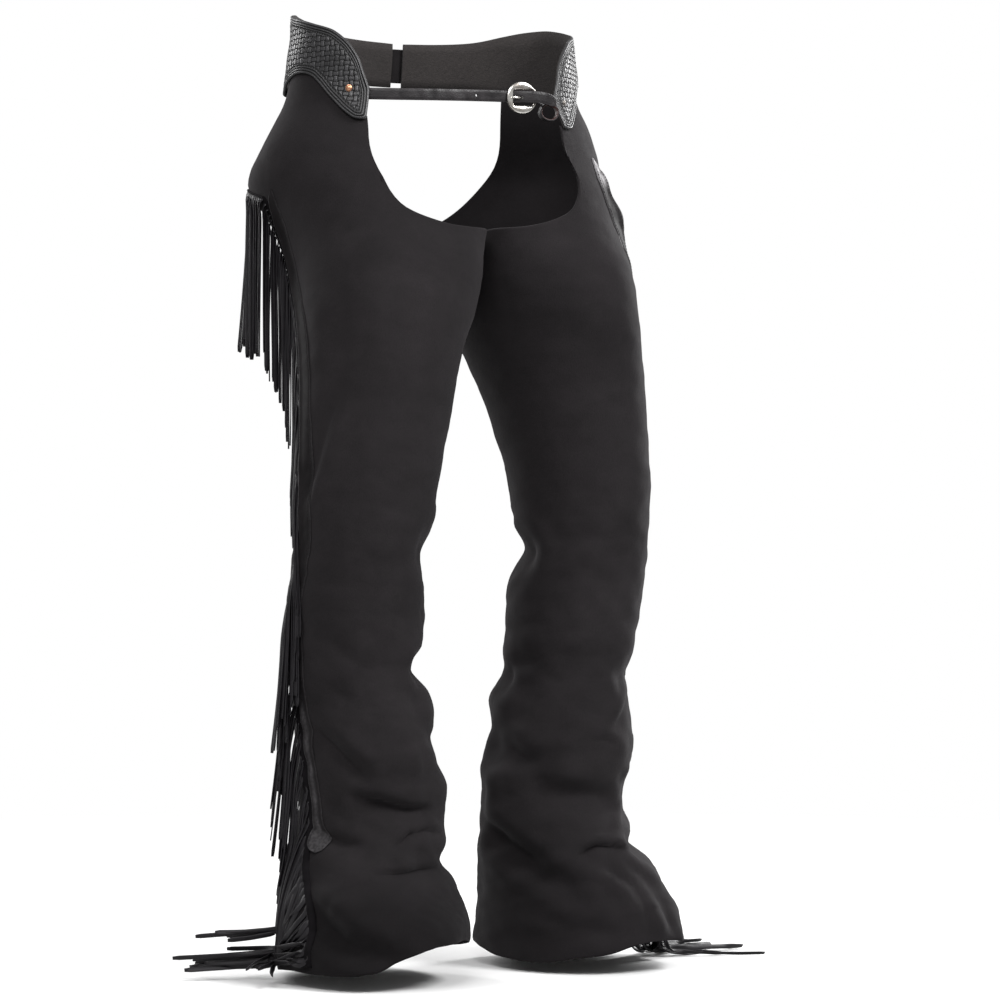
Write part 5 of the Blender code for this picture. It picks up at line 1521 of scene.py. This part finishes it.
def rivet(name, side, deg, z, radius, mat, node):
    """Domed rivet on a thin washer, pressed into the yoke."""
    p = hips(deg, z, YOKE_LIFT + YOKE_T - .0002)
    q = hips(deg, z, YOKE_LIFT + YOKE_T + .01)
    n = unit(q - p)
    p = p * (side, 1, 1)
    n = n * (side, 1, 1)
    rot = Vector(n).to_track_quat("Z", "Y").to_matrix()
    prof = [(0, .0019), (.35, .00185), (.62, .0016), (.82, .0011), (.90, .0007), (.93, .0006), (1.0, .0006), (1.08, .0004),
            (1.10, .0), (0, 0)]
    k = 32
    verts, faces = [], []
    for r, h in prof[1:-1]:
        for q_ in range(k):
            w = 2 * math.pi * q_ / k
            v = rot @ Vector((r * radius * math.cos(w), r * radius * math.sin(w), h))
            verts.append(np.array(v) + p)
    m_ = len(prof) - 2
    for g in range(m_ - 1):
        for q_ in range(k):
            a, b = g * k + q_, g * k + (q_ + 1) % k
            faces.append((a, a + k, b + k, b))
    verts.append(np.array(rot @ Vector((0, 0, prof[0][1]))) + p)
    verts.append(p)
    for q_ in range(k):
        faces.append((m_ * k, q_, (q_ + 1) % k))
        faces.append((m_ * k + 1, (m_ - 1) * k + (q_ + 1) % k, (m_ - 1) * k + q_))
    obj = new_mesh(name, np.array(verts), faces, mat)
    check_outward(obj)
    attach(obj, "root")
    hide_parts(node)
    return obj


rivet("rivet_copper_right", -1, 57.5, .0135, .0034, COPPER_MAT, "rivet_right")
rivet("rivet_nickel_left", 1, 33.5, .0085, .0030, RIVET_MAT, "rivet_left")

# ------------------------------------------------------------------ the leg shells and their sizes, read back and not used further
for side in SIDES:
    obj, around, down = LEGS[side]

# ------------------------------------------------------------------ stage, light and camera
fm = Nodes("studio_floor")
reach = fm.tree.nodes.new("ShaderNodeVectorMath")
reach.operation = "LENGTH"
fm.tree.links.new(fm.coords(), reach.inputs[0])
far = fm.spread(reach.outputs["Value"], .75, 2.2, 0.0, 1.0)
glow = fm.tree.nodes.new("ShaderNodeEmission")
glow.inputs["Color"].default_value = (1, 1, 1, 1)
glow.inputs["Strength"].default_value = 1.0
blend = fm.tree.nodes.new("ShaderNodeMixShader")
seen = fm.tree.nodes.new("ShaderNodeLightPath")
fm.tree.links.new(fm.spread(seen.outputs["Is Camera Ray"], 0.0, 1.0, .35, 1.0), glow.inputs["Strength"])
fm.finish(fm.mix(seen.outputs["Is Camera Ray"], rgb(.55, .55, .55), rgb(.90, .90, .90)), Roughness=.9)
fm.tree.links.new(far, blend.inputs[0])
fm.tree.links.new(fm.bsdf.outputs[0], blend.inputs[1])
fm.tree.links.new(glow.outputs[0], blend.inputs[2])
fm.tree.links.new(blend.outputs[0], fm.tree.nodes["Material Output"].inputs["Surface"])
bpy.ops.mesh.primitive_plane_add(size=60, location=(0, 0, FLOOR - .0004))
stage = bpy.context.object
stage.name = "studio_floor"
stage.data.materials.append(fm.mat)

world = bpy.data.worlds.new("studio")
world.use_nodes = True
wt = world.node_tree
soft = wt.nodes["Background"]
soft.inputs["Color"].default_value = (1, 1, 1, 1)
soft.inputs["Strength"].default_value = .46
page = wt.nodes.new("ShaderNodeBackground")
page.inputs["Color"].default_value = (1, 1, 1, 1)
page.inputs["Strength"].default_value = 1.0
ray = wt.nodes.new("ShaderNodeLightPath")
pick = wt.nodes.new("ShaderNodeMixShader")
wt.links.new(ray.outputs["Is Camera Ray"], pick.inputs[0])
wt.links.new(soft.outputs[0], pick.inputs[1])
wt.links.new(page.outputs[0], pick.inputs[2])
wt.links.new(pick.outputs[0], wt.nodes["World Output"].inputs["Surface"])
bpy.context.scene.world = world

VIEW = Vector((.573576, .819152, 0))
RIGHT = Vector((.819152, -.573576, 0))


def area_light(name, place, target, size, power, colour=(1, 1, 1)):
    light = bpy.data.lights.new(name, "AREA")
    light.shape = "RECTANGLE"
    light.size, light.size_y = size
    light.energy = power
    light.color = colour
    obj = bpy.data.objects.new(name, light)
    bpy.context.scene.collection.objects.link(obj)
    obj.location = place
    obj.rotation_euler = (Vector(target) - Vector(place)).to_track_quat("-Z", "Y").to_euler()
    return obj


at = Vector((0, 0, -.15))
area_light("key", at - VIEW * 1.8 - RIGHT * 1.7 + Vector((0, 0, 2.8)), at, (1.2, 1.2), 24)
area_light("front", at - VIEW * 2.7 - RIGHT * .3 + Vector((0, 0, 1.8)), at, (1.3, 1.3), 50)
area_light("fill", at - VIEW * 1.6 + RIGHT * 2.2 + Vector((0, 0, 2.0)), at, (1.2, 1.2), 106)
area_light("rim_left", at + VIEW * 1.9 - RIGHT * 2.1 + Vector((0, 0, 1.1)), at, (.7, 1.8), 38)
area_light("rim_right", at + VIEW * 2.2 + RIGHT * 2.0 + Vector((0, 0, .9)), at, (.7, 1.8), 78)

cam = bpy.data.cameras.new("camera")
cam.sensor_width = 36
cam.lens = 147.42
cam.shift_y = .003
cam_obj = bpy.data.objects.new("camera", cam)
bpy.context.scene.collection.objects.link(cam_obj)
m = Matrix((RIGHT, Vector((0, 0, 1)), -VIEW)).transposed().to_4x4()
m.translation = RIGHT * .0747 - VIEW * 4.5 + Vector((0, 0, -.428))
cam_obj.matrix_world = m
bpy.context.scene.camera = cam_obj
bpy.context.scene.view_settings.view_transform = "Standard"
